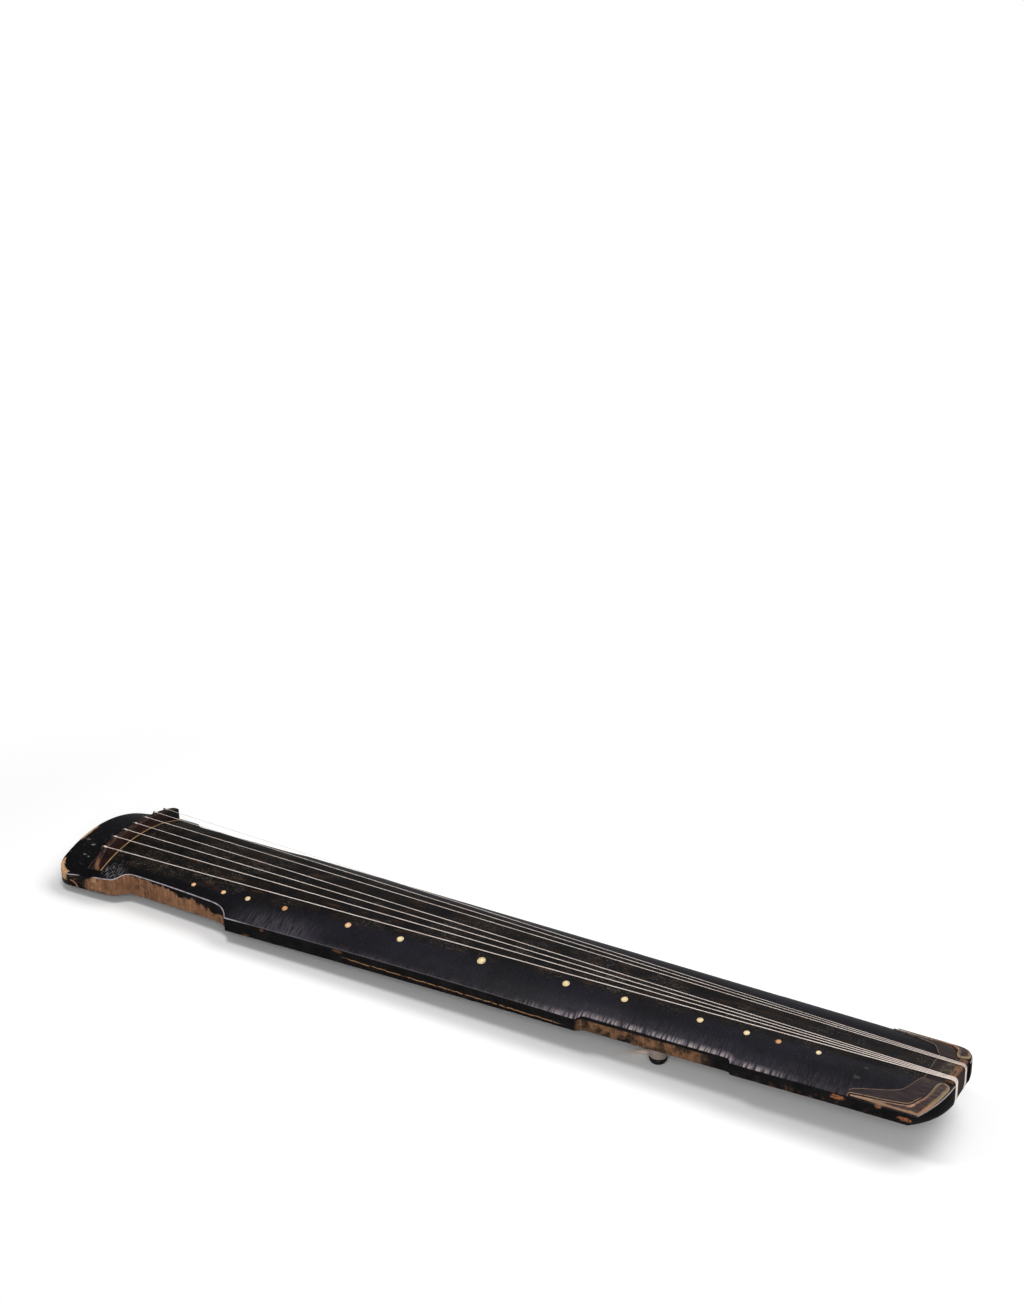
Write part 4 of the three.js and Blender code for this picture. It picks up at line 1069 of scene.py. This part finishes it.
def lacquer():
    """Old violet-black lacquer, cracked across, scuffed under the strings, worn at walls and edges."""
    finish = Finish("old_black_lacquer", Specular_IOR_Level=0.08)
    x, y, z = finish.body()
    noise, paint = finish.noise, finish.paint
    up = finish.facing()[2]
    from_edge = finish.stored("lay")[0]
    near = y.above(0, -20)
    wall = up.above(0.5, 0.3) * up.above(-0.75, -0.5)
    broad, middle, fine = noise(0.011, 2), noise(0.06, 4), noise(0.5, 4)
    ragged = noise((0.07, 0.07, 0.049), 6, 0.68)
    jagged = noise(0.3, 5, 0.7)
    torn, rough = ragged - 0.5, jagged - 0.5

    def patches_at(across, *ovals):
        """1 inside ragged ovals, each given by its centre and its two radii."""
        made = None
        for a, b, reach_a, reach_b in ovals:
            out = (((x - a) / reach_a) ** 2 + ((across - b) / reach_b) ** 2) ** 0.5
            inside = (out + rough * 2.4).above(1.0, 0.75)
            made = made.most(inside) if made else inside
        return made

    # Top: violet-black on the slope nearest the studs, brownish black and scuffed under the strings, with a
    # painted grey reflection along the far slope
    along_body = x.above(-30, 420)
    cool = paint((10, 10, 14), (along_body, (23, 22, 30)))
    deep = paint((7, 7, 8), (along_body, (13, 12, 14)))
    taper = x / STRING_LENGTH
    near_line = -62 + 36 * taper
    far_line = 66 - 44 * taper
    under_strings = (y - near_line).above(-7, 7) * (far_line - y).above(-9, 6) * x.above(-4, 2)
    patches = noise(0.017, 3, 0.6)
    scuffed = noise((0.055, 0.42, 0.3), 6, 0.72).above(0.54, 0.7)
    scuffed = scuffed * patches.above(0.4, 0.6) * under_strings
    speck = noise((0.5, 0.8, 0.8), 3, 0.6).above(0.57, 0.7)
    brown_wear = noise((0.02, 0.11, 0.1), 4, 0.6).above(0.58, 0.74) * under_strings
    chips = patches_at(y, (-41.5, -61, 2.2, 1.6), (-33.5, -63.5, 2, 1.4), (-43, -42.5, 3, 1.8),
                       (-59, -34, 3.6, 2))
    faint = patches_at(y, (1021, -49.5, 5, 2), (1026, -35, 3, 1.4))
    dots = noise(0.6, 2, 0.5).above(0.68, 0.74) * x.above(-20, -28)
    beside_bridge = (((x - 20) * 0.8) ** 2 + ((y + 76) * 1.1) ** 2) ** 0.5
    scratched = noise((0.5, 0.14, 0.3), 5, 0.7)

    # Painted highlights and sheen: light caught by the fine cracks along the edge of the waist and the
    # tail, and a pale sheen on the near slope behind the shoulder and from the waist on
    hatch = noise((0.7, 0.06, 0.06), 4, 0.6)
    comb = noise((0.4, 0.03, 0.03), 4, 0.7)
    painted_crack_glints = (from_edge + comb * 9).above(12.5, 5) * comb.above(0.4, 0.62) * near
    painted_crack_glints = painted_crack_glints * (0.08 * x.above(240, 420) + 0.92 * x.above(600, 720) * x.above(975, 905))
    painted_shoulder_sheen = (from_edge + comb * 24).above(46, 12) * hatch.above(0.32, 0.66) * near
    painted_shoulder_sheen = painted_shoulder_sheen * x.between(232, 330, 34)
    painted_slope_sheen = from_edge.above(26, 2) * hatch.above(0.35, 0.7) * near * x.above(560, 760)

    top = paint(
        cool,
        (broad.above(0.35, 0.65) * 0.6 + middle.above(0.5, 0.65) * 0.3, deep),
        (under_strings * 0.85, paint(deep, (middle.above(0.4, 0.62), (25, 20, 16)))),
        # Painted grey reflection along the far slope
        (y.above(52, 70) * x.above(150, 350) * middle.above(0.35, 0.6) * 0.6, (46, 47, 50)),
        (scuffed * 0.5, (104, 92, 80)),
        (speck * (0.1 + patches.above(0.46, 0.6) * under_strings * 0.7), (112, 104, 98)),
        (brown_wear * 0.6, (72, 50, 34)),
        (chips * fine.above(0.42, 0.56) * 0.7, (150, 142, 140)),
        (faint * 0.14, (122, 118, 118)),
        (dots * 0.6, (138, 130, 126)),
        (beside_bridge.above(19, 5) * scratched.above(0.48, 0.62) * 0.6, (140, 136, 138)),
        # Painted highlights on the cracked near edge of the waist and the tail
        (painted_crack_glints * 0.85, (172, 160, 163)),
        # Painted sheen on the near slope behind the shoulder
        (painted_shoulder_sheen * 0.34, (112, 108, 116)),
        # Painted sheen on the near slope from the waist to the tail
        (painted_slope_sheen * 0.22, (92, 86, 96)),
        (up.above(0, -0.3), paint(deep, (middle.above(0.42, 0.66) * 0.7, (30, 23, 18)))))

    # Walls: bare wood at the neck and the waist, chips by the tail, a crack along the seam
    grain = noise((0.55, 0.55, 0.03), 5, 0.7)
    blotch = noise(0.09, 5, 0.68)
    cloud = noise(0.03, 4, 0.6)
    bare = paint(
        (100, 70, 51),
        (grain.above(0.34, 0.66), (148, 107, 78)),
        (cloud.above(0.42, 0.62) * 0.5, (104, 72, 52)),
        (blotch.above(0.48, 0.66) * 0.65, (66, 46, 35)),
        (x.above(14, 2) * blotch.above(0.5, 0.36) * 0.6, (182, 140, 106)))
    old_wood = paint(
        (46, 35, 28),
        (blotch.above(0.38, 0.62), (112, 80, 56)),
        (grain.above(0.5, 0.7) * cloud.above(0.46, 0.56) * 0.8, (150, 106, 72)),
        (jagged.above(0.55, 0.66) * 0.55, (28, 23, 22)))
    lost = (ragged * 0.9 + (140 - x) * 0.003 + (13 - z) * 0.028 + 0.05).above(0.3, 0.36)
    rise = 12.5 + (x + 19) * 0.61 + torn * 14
    under_bridge = (x + rough * 24).above(-21, -14) * x.above(24, 16) * (rise - z).above(-1, 1)
    under_bridge = under_bridge * (z + torn * 9).above(0.6, 2) * (1 - patches_at(z, (25, 4, 5, 3)))
    neck_bare = (x.above(12, 20) * x.above(203, 198) * lost + under_bridge).least(1) * near
    waist_bare = x.between(WAIST_START_X + 4, WAIST_END_X - 5, 4) * z.above(15, 14.2) * z.above(0.3, 1.2)
    waist_bare = waist_bare * noise(0.05, 5, 0.68).above(0.36, 0.46) * x.above(868, 838)
    wall_chips = patches_at(z, (1010, 10.5, 9, 3), (1054, 13.5, 4, 2.6), (1083, 7.2, 9.5, 2.6)) * near
    head_low = x.between(-62, -26, 10) * jagged.above(0.54, 0.6) * near * z.above(1, 3)
    crack_height = 8.4 - 0.0142 * (x - 389) + (noise((0.09, 0.09, 0), 4, 0.7) - 0.5) * 4
    crack = abs(z - crack_height).above(0.62, 0.3) * noise(0.21, 4, 0.65).above(0.36, 0.5)
    crack = crack * x.between(386, 676, 10) * near
    bent = ((x + 40) ** 2 + (z + 2) ** 2) ** 0.5 - 11 + rough * 2
    crack = crack.most(abs(bent).above(0.9, 0.4) * near * z.above(0, 1) * x.above(-42, -40))
    spots = patches_at(z, (240, 2, 6, 1.6), (264, 15.5, 3, 2), (375, 15.5, 7, 1.8)) * near
    late = blotch.above(0.52, 0.62) * (z + rough * 10).above(9, 4) * x.between(900, 1040, 40) * near
    side = paint(
        (10, 10, 11),
        (middle.above(0.3, 0.7), (22, 20, 21)),
        (spots.most(noise(0.2, 3, 0.6).above(0.7, 0.74) * 0.7) * 0.8, (96, 62, 38)),
        (late * 0.7, (84, 58, 42)),
        (waist_bare, old_wood),
        (neck_bare, bare),
        (wall_chips, paint((150, 94, 60), (fine.above(0.4, 0.6), (92, 58, 40)))),
        (head_low * 0.8, (112, 82, 62)),
        (crack * 0.8, (190, 142, 98)))

    # Pale top edge, partly rubbed wear and partly a painted highlight on the rounded edge; the bare corner
    # of the head and the worn edge behind it
    rim = from_edge.above(1.4, 0.6) * up.above(0.25, 0.45) * up.above(0.93, 0.86) * z.above(9.5, 11)
    rim = rim * (x + 14).between(-12, 12, 4).above(1, 0) * x.above(720, 640) * near
    kept_rim = 0.1 + x.above(252, 212) * 0.75 * (0.6 + noise(0.12, 4).above(0.35, 0.5) * 0.4)
    corner = (((x + 58) ** 2 + (y + 84) ** 2) ** 0.5 + rough * 14).above(15.5, 12.5)
    corner = corner * (from_edge + rough * 9).above(5.5, 4.2) * (z + rough * 6).above(6.5, 8)
    back_edge = (x + rough * 5).above(-65, -67.5) * (y + 20 + rough * 20).between(-16, 15, 4)
    base = paint(
        top,
        (wall, side),
        # Pale top edge: rubbed wear with a painted highlight on the rounded edge
        (rim * kept_rim, (174, 166, 172)),
        (corner, paint((204, 168, 128), (fine.above(0.4, 0.6), (160, 120, 84)))),
        (back_edge * (z + rough * 9).above(31, 34), (176, 140, 108)))

    # Cracks across the body, closest together along the slope by the waist and the tail
    first = ((x + noise((0.02, 0.07, 0), 4, 0.6) * 30) / 5.2).part() - 0.5
    second = (x / 3.1 + noise((0.05, 0.1, 0), 3, 0.6) * 9).part() - 0.5
    cracks = abs(first).above(0.42, 0.5) * 0.8 + abs(second).above(0.44, 0.5) * 0.4
    cracks = cracks * (y - near_line).above(8, -18) * x.above(240, 420)
    relief = fine * 0.25 + middle * 0.6 - cracks * 0.9 + hatch * 0.35 * (1 - under_strings * 0.4)
    bared = ((neck_bare + waist_bare + wall_chips).least(1) * wall).most(corner)
    relief = relief + grain * 1.3 * bared - crack * 1.5 - bared * 0.8
    roughness = 0.33 + hatch * 0.14 + scuffed * 0.25 + under_strings * 0.1
    roughness = roughness + (0.7 - roughness) * bared
    return finish.coated(base, roughness.least(1), relief, 0.5, 0.0006)


def waxed_wood(name, dark, light, worn, direction, wear=0.3):
    """Hard wood with its grain along one axis, rubbed paler on high spots."""
    finish = Finish(name, Specular_IOR_Level=0.25)
    finish.body()
    grain, broad = finish.noise(direction, 5, 0.62), finish.noise(0.05, 3)
    rubbed = finish.noise(0.16, 4, 0.65).above(0.66 - wear * 0.3, 0.76 - wear * 0.2)
    base = finish.paint(dark, (grain.above(0.3, 0.7), light), (rubbed * wear, worn),
                        (broad.above(0.55, 0.72) * 0.4, dark))
    return finish.coated(base, 0.4 + grain * 0.2, grain + broad)


def bridge_finish():
    """Dark red-brown bridge, worn to bare wood on its near end face, its far half nearly black, with a
    painted highlight on the top of its near end.
    """
    finish = Finish("waxed_bridge_wood", Specular_IOR_Level=0.18)
    y = finish.body()[1]
    _, sideways, up = finish.facing()
    grain, broad = finish.noise((0.35, 0.02, 0.3), 5, 0.62), finish.noise(0.05, 4, 0.65)
    base = finish.paint(
        (26, 18, 18),
        (grain.above(0.3, 0.7), (56, 33, 27)),
        ((broad.above(0.48, 0.62) * 0.7 + y.above(44, 62)).least(1), (17, 13, 14)),
        (up.above(0.4, 0.75) * finish.noise(0.16, 4).above(0.5, 0.64) * 0.4, (92, 70, 60)),
        (sideways.above(-0.5, -0.8) * y.above(-70, -78),
         finish.paint((96, 64, 46), (grain.above(0.35, 0.65), (132, 94, 68)))),
        # Painted highlight on the top of the near end
        (up.above(0.55, 0.8) * y.above(-79, -80.2), (158, 148, 152)))
    return finish.coated(base, 0.4 + grain * 0.2, grain + broad)


def strip_finish():
    """Black strip behind the bridge with two dull red lines along it."""
    finish = Finish("string_hole_strip_lacquer", Specular_IOR_Level=0.2)
    x = finish.body()[0]
    grain = finish.noise((0.3, 0.03, 0.3), 5, 0.62)
    lines = abs(x + 11.5).above(1.1, 0.6).most(abs(x + 18.4).above(1.1, 0.6)) * grain.above(0.3, 0.5)
    base = finish.paint((13, 11, 13), (grain.above(0.3, 0.7), (28, 22, 24)), (lines * 0.8, (70, 50, 48)))
    return finish.coated(base, 0.42 + grain * 0.2, grain)


def nut_finish():
    """Worn nut and its support: brown with an orange rubbed top, a dark stain between the bunches."""
    finish = Finish("worn_nut_wood", Specular_IOR_Level=0.12)
    x, _, z = finish.body()
    grain, shake = finish.noise((0.3, 0.03, 0.3), 5, 0.62), finish.noise(0.14, 4, 0.65)
    rubbed = z.above(31.5, 33.8) * (shake * 0.6 + grain * 0.5).above(0.42, 0.6)
    stain = z.above(31.5, 28) + (x - 1115).above(-2, 2) * 0.5
    base = finish.paint(
        (34, 23, 21),
        (grain.above(0.3, 0.7), (60, 41, 33)),
        (rubbed * 0.75, (124, 88, 64)),
        (stain.least(1) * shake.above(0.3, 0.5) * 0.7, (40, 34, 38)))
    return finish.coated(base, 0.42 + grain * 0.2, grain + shake)


def plate_finish():
    """Brown-purple plate in front of the nut with a greenish rubbed patch by the nut."""
    finish = Finish("worn_plate_wood", Specular_IOR_Level=0.1)
    x, y, _ = finish.body()
    grain, shake = finish.noise((0.05, 0.4, 0.3), 5, 0.62), finish.noise(0.12, 4, 0.65)
    base = finish.paint(
        (28, 21, 24),
        (grain.above(0.3, 0.7), (48, 37, 37)),
        (x.above(1094, 1104) * y.above(-22, -6) * shake.above(0.42, 0.6) * 0.7, (96, 90, 68)),
        (x.above(1087.6, 1086.6) * shake.above(0.3, 0.5) * 0.8, (108, 104, 92)))
    return finish.coated(base, 0.45 + grain * 0.2, grain + shake)


def crown_base_finish():
    """Dull purple-brown lacquer, rubbed tan in thin lines along its inner edge and beside the rim, with
    painted shade right next to the rim.
    """
    finish = Finish("crown_base_lacquer", Specular_IOR_Level=0.12)
    x = finish.body()[0]
    from_inner, from_outer = finish.stored("band")
    from_rim = finish.stored("groove")[0]
    grain, shake = finish.noise((0.05, 0.4, 0.3), 4, 0.6), finish.noise(0.12, 4, 0.6)
    beside = from_rim.between(2.6, 3.3, 0.3) * x.above(1096, 1088)
    base = finish.paint(
        (34, 27, 30),
        (grain.above(0.3, 0.7), (54, 43, 43)),
        (finish.noise(0.06, 3).above(0.55, 0.7) * 0.6, (66, 52, 42)),
        (from_inner.above(1, 0.3) * shake.above(0.3, 0.5) * 0.85, (124, 100, 82)),
        (beside * shake.above(0.3, 0.45) * 0.85, (148, 118, 92)),
        # Painted shade on the base right beside the raised rim
        (from_rim.above(2.5, 1.9) * x.above(1103, 1096), (12, 9, 9)),
        (from_outer.above(9, 6) * x.above(1094, 1100), (20, 15, 15)),
        (from_outer.above(0.9, 0.45) * x.above(1095, 1098), (150, 140, 140)))
    return finish.coated(base, 0.45 + grain * 0.15, grain * 0.6 + shake, 0.3)


def crown_rim_finish():
    """Red-brown lacquer on the raised band, worn through to tan along both its edges."""
    finish = Finish("crown_rim_lacquer", Specular_IOR_Level=0.12)
    x, y, _ = finish.body()
    from_inner, from_outer = finish.stored("band")
    grain, shake = finish.noise((0.05, 0.4, 0.3), 4, 0.6), finish.noise(0.14, 4, 0.6)
    shaken = shake - 0.5
    at_bend = ((x - 1091) ** 2 + ((abs(y) - 58) * 0.8) ** 2) ** 0.5
    broad_wear = (at_bend + shake * 8).above(17, 11) * (from_inner + shake * 3).above(5.5, 3.5)
    halo = x.above(1099, 1105) * (from_outer.least(from_inner) + shaken * 4).above(4.4, 1.8)
    end_wear = x.between(1098, 1107, 2.5) * (from_outer + shaken * 4).above(2.6, 1.2)
    base = finish.paint(
        (50, 38, 38),
        (grain.above(0.3, 0.7), (74, 58, 52)),
        (finish.noise(0.05, 4, 0.6).above(0.5, 0.65) * 0.6, (38, 30, 33)),
        ((from_outer + shaken * 2.5).above(1.6, 0.6) * 0.8, (150, 118, 92)),
        ((from_inner + shaken * 2.5).above(1.7, 0.7) * 0.7, (160, 132, 106)),
        (broad_wear, finish.paint((164, 124, 102), (shake.above(0.4, 0.6), (120, 88, 72)))),
        (halo * 0.7, (132, 116, 90)),
        (end_wear * 0.8, (160, 112, 86)))
    return finish.coated(base, 0.45 + grain * 0.2, grain * 0.6 + shake, 0.3)


def shell(name, tone):
    """Inlaid shell, clouded, with brown wear."""
    finish = Finish(name, Specular_IOR_Level=0.5)
    finish.body()
    cloud, wear = finish.noise(0.3, 4, 0.6), finish.noise(1.4, 3, 0.6)
    plain = colour(*tone)
    base = finish.mix(cloud.above(0.35, 0.65), plain, [min(1, c * 1.35) for c in plain])
    base = finish.paint(base, (wear.above(0.6, 0.75) * 0.5, (150, 116, 74)))
    return finish.coated(base, 0.32 + wear * 0.3, wear, 0.25, 0.0002)


def silk(name, pale, dusky, wound):
    """Twisted silk, paler towards the tail, with its own colour where it is wound on the feet."""
    finish = Finish(name, Specular_IOR_Level=0.35, Sheen_Weight=0.25)
    x, _, z = finish.body()
    fibre, age = finish.noise(2.2, 3, 0.6), finish.noise(0.02, 3, 0.6)
    base = finish.paint(
        pale,
        ((age.above(0.4, 0.62) * 0.5 + fibre * 0.3).least(1), dusky),
        (x.above(980, 1095), (238, 222, 212)),
        (z.above(-1.5, -4) * (0.5 + fibre.above(0.42, 0.6) * 0.5), wound))
    return finish.coated(base, 0.62 + fibre * 0.15, fibre, 0.3, 0.0001)


def horn():
    """Black horn with faint brown veins, polished."""
    finish = Finish("polished_black_horn", Specular_IOR_Level=0.55)
    finish.body()
    veins = finish.noise((0.15, 0.15, 0.6), 4, 0.6)
    base = finish.paint((12, 11, 13), (veins.above(0.4, 0.7), (34, 29, 28)))
    return finish.coated(base, 0.12 + veins * 0.14, veins, 0.12, 0.0002)


def bare_softwood():
    finish = Finish("bare_softwood", Specular_IOR_Level=0.3)
    finish.body()
    grain = finish.noise((0.05, 0.6, 0.6), 5, 0.6)
    base = finish.paint((140, 100, 62), (grain.above(0.3, 0.7), (178, 136, 90)))
    return finish.coated(base, 0.75 + grain * 0.1, grain, 0.4)


# ---- make the pieces
def dress(material, *pieces):
    for piece in pieces:
        piece.data.materials.clear()
        piece.data.materials.append(material)


dress(lacquer(), top_board(), bottom_board())

red_wood = waxed_wood("waxed_red_wood", (30, 19, 17), (66, 38, 29), (120, 80, 54), (0.35, 0.02, 0.3))
pale_line = waxed_wood("pale_inlay", (118, 92, 62), (158, 128, 88), (176, 144, 100), (0.3, 0.05, 0.3), 0)
dress(bridge_finish(), bridge())
dress(strip_finish(), string_hole_strip())
dress(pale_line, bridge_foot_line())
dress(nut_finish(), nut(), tail_support())
dress(plate_finish(), tail_plate())

gold = shell("gold_shell", (206, 186, 144))
amber = shell("amber_shell", (184, 132, 84))
peach = shell("peach_shell", (204, 164, 122))
for index in range(STUD_COUNT):
    dress({0: peach, 1: peach, 3: amber, 4: peach, 11: amber}.get(index, gold), stud(index))

base_finish, rim_finish = crown_base_finish(), crown_rim_finish()
for name, sign in SIDES.items():
    dress(base_finish, crown(f"crown_base_{name}", sign, BASE_INNER, BASE_SIDE, BASE_END, BASE_BEND,
                             low=GAP, thick=1.1, roll=1.2, pillow=0.25))
    dress(rim_finish, crown(f"crown_rim_{name}", sign, RIM_INNER, RIM_SIDE, RIM_LOBE, RIM_BEND,
                            low=GAP + 1.4, thick=2.3, roll=3.4, pillow=1.2))

string_silk = silk("string_silk", (226, 214, 206), (190, 174, 165), (104, 84, 74))
fray_silk = silk("frayed_silk", (226, 206, 190), (206, 184, 168), (232, 214, 200))
loop_silk = silk("loop_silk", (84, 64, 54), (52, 38, 32), (60, 44, 38))
routes = list(string_routes())
for index, (line, diameter) in enumerate(zip(routes, STRING_DIAMETERS)):
    dress(string_silk, cord(f"string_{index + 1}", "silk", line, diameter * DRAWN_RADIUS,
                            lay_length=4.2, lobes=3, spacing=0.36, sides=9, depth=0.06,
                            swell_of=string_swell))
    dress(loop_silk, cord(f"silk_loop_{index + 1}", "laid", silk_route(index), SILK_RADIUS,
                          lay_length=9, lobes=2, spacing=0.6, sides=10, depth=0.35, swell_of=level(1)))
dress(fray_silk, *frayed_ends(routes))

black_horn = horn()
for name, sign in SIDES.items():
    dress(black_horn, goose_foot(name, sign))
    dress(red_wood, peg_guard(name, sign))
dress(black_horn, *(peg(index) for index in range(7)))

hidden_wood = ("sound_post_round", "sound_post_square", "foot_socket_near", "foot_socket_far")
dress(bare_softwood(), *(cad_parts[node] for node in hidden_wood))
dress(red_wood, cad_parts["peg_plate"])


# ---- floor, light and camera
def floor():
    """Pale paper that keeps the shadow near the instrument and is plain white further out."""
    bm = bmesh.new()
    bmesh.ops.create_grid(bm, x_segments=2, y_segments=2, size=12)
    made = in_scene("floor", as_mesh(bm, "floor"))
    finish = Finish("white_floor_paper", Specular_IOR_Level=0.0, Roughness=1.0)
    x, y, _ = finish.node("ShaderNodeTexCoord", out="Object").parts()
    out = ((x / 0.95) ** 2 + (y / 0.55) ** 2) ** 0.5
    # Seen in reflections the paper is dark grey, which paints its reflection in the lacquer darker
    finish.set(Base_Color=finish.mix(finish.ray("Glossy"), (0.9, 0.9, 0.9), (0.25, 0.25, 0.25)))
    glow = finish.node("ShaderNodeEmission", sockets={"Color": (1, 1, 1), "Strength": 1.0})
    shown = finish.ray("Camera") * out.above(0.62, 1.12)
    finish.seen_as("Material Output", shown, finish.shader.outputs[0], glow)
    dress(finish.material, made)


def studio():
    """Plain pale light all round, white where the camera sees it, greyer in reflections."""
    world = bpy.data.worlds.new("studio")
    bpy.context.scene.world = world
    world.use_nodes = True
    sky = Nodes(world.node_tree)
    lit = sky.tree.nodes["Background"]
    sky.feed(lit.inputs["Color"], sky.mix(sky.ray("Glossy"), (1, 1, 1), (0.45, 0.45, 0.45)))
    lit.inputs["Strength"].default_value = 0.3
    seen = sky.node("ShaderNodeBackground", sockets={"Color": (1, 1, 1), "Strength": 1.0})
    sky.seen_as("World Output", sky.ray("Camera"), lit.outputs[0], seen)


def softbox(name, place, target, width, depth, strength):
    data = bpy.data.lights.new(name, "AREA")
    data.shape, data.size, data.size_y, data.energy = "RECTANGLE", width, depth, strength
    lamp = in_scene(name, data)
    lamp.location = place
    lamp.rotation_mode = "QUATERNION"
    lamp.rotation_quaternion = (Vector(target) - Vector(place)).to_track_quat("-Z", "Y")


# Camera, solved in the body's frame from the studs, in the photo's own pixels
EYE = Vector((1648.1, -1779.3, 1266.4))
YAW, PITCH, ROLL = (math.radians(a) for a in (31.01, -22.38, -1.41))
FOCAL_PIXELS, LONG_SIDE = 2022.79, 1303


def make_camera():
    forward = Vector((-math.sin(YAW) * math.cos(PITCH), math.cos(YAW) * math.cos(PITCH), math.sin(PITCH)))
    right = forward.cross(Vector((0, 0, 1))).normalized()
    up = right.cross(forward)
    c, s = math.cos(ROLL), math.sin(ROLL)
    turn = AS_ROW.to_3x3().normalized()
    basis = Matrix([turn @ axis for axis in (c * right + s * up, c * up - s * right, -forward)])
    data = bpy.data.cameras.new("camera")
    data.sensor_width = 36
    data.lens = FOCAL_PIXELS * data.sensor_width / LONG_SIDE
    data.clip_start, data.clip_end = 0.1, 60
    camera = in_scene("camera", data)
    camera.matrix_world = Matrix.Translation(AS_ROW @ EYE) @ basis.transposed().to_4x4()
    bpy.context.scene.camera = camera


floor()
softbox("back_softbox", (0.95, 1.5, 2.5), (0.1, 0, 0), 2.4, 2.0, 72)
softbox("front_softbox", (1.3, -2.3, 1.5), (0.1, 0, 0), 1.6, 1.2, 40)
softbox("overhead_softbox", (-0.32, -0.24, 1.25), (0.2, -0.05, 0), 0.4, 0.3, 6)
studio()
make_camera()
bpy.context.scene.view_settings.view_transform = "Standard"
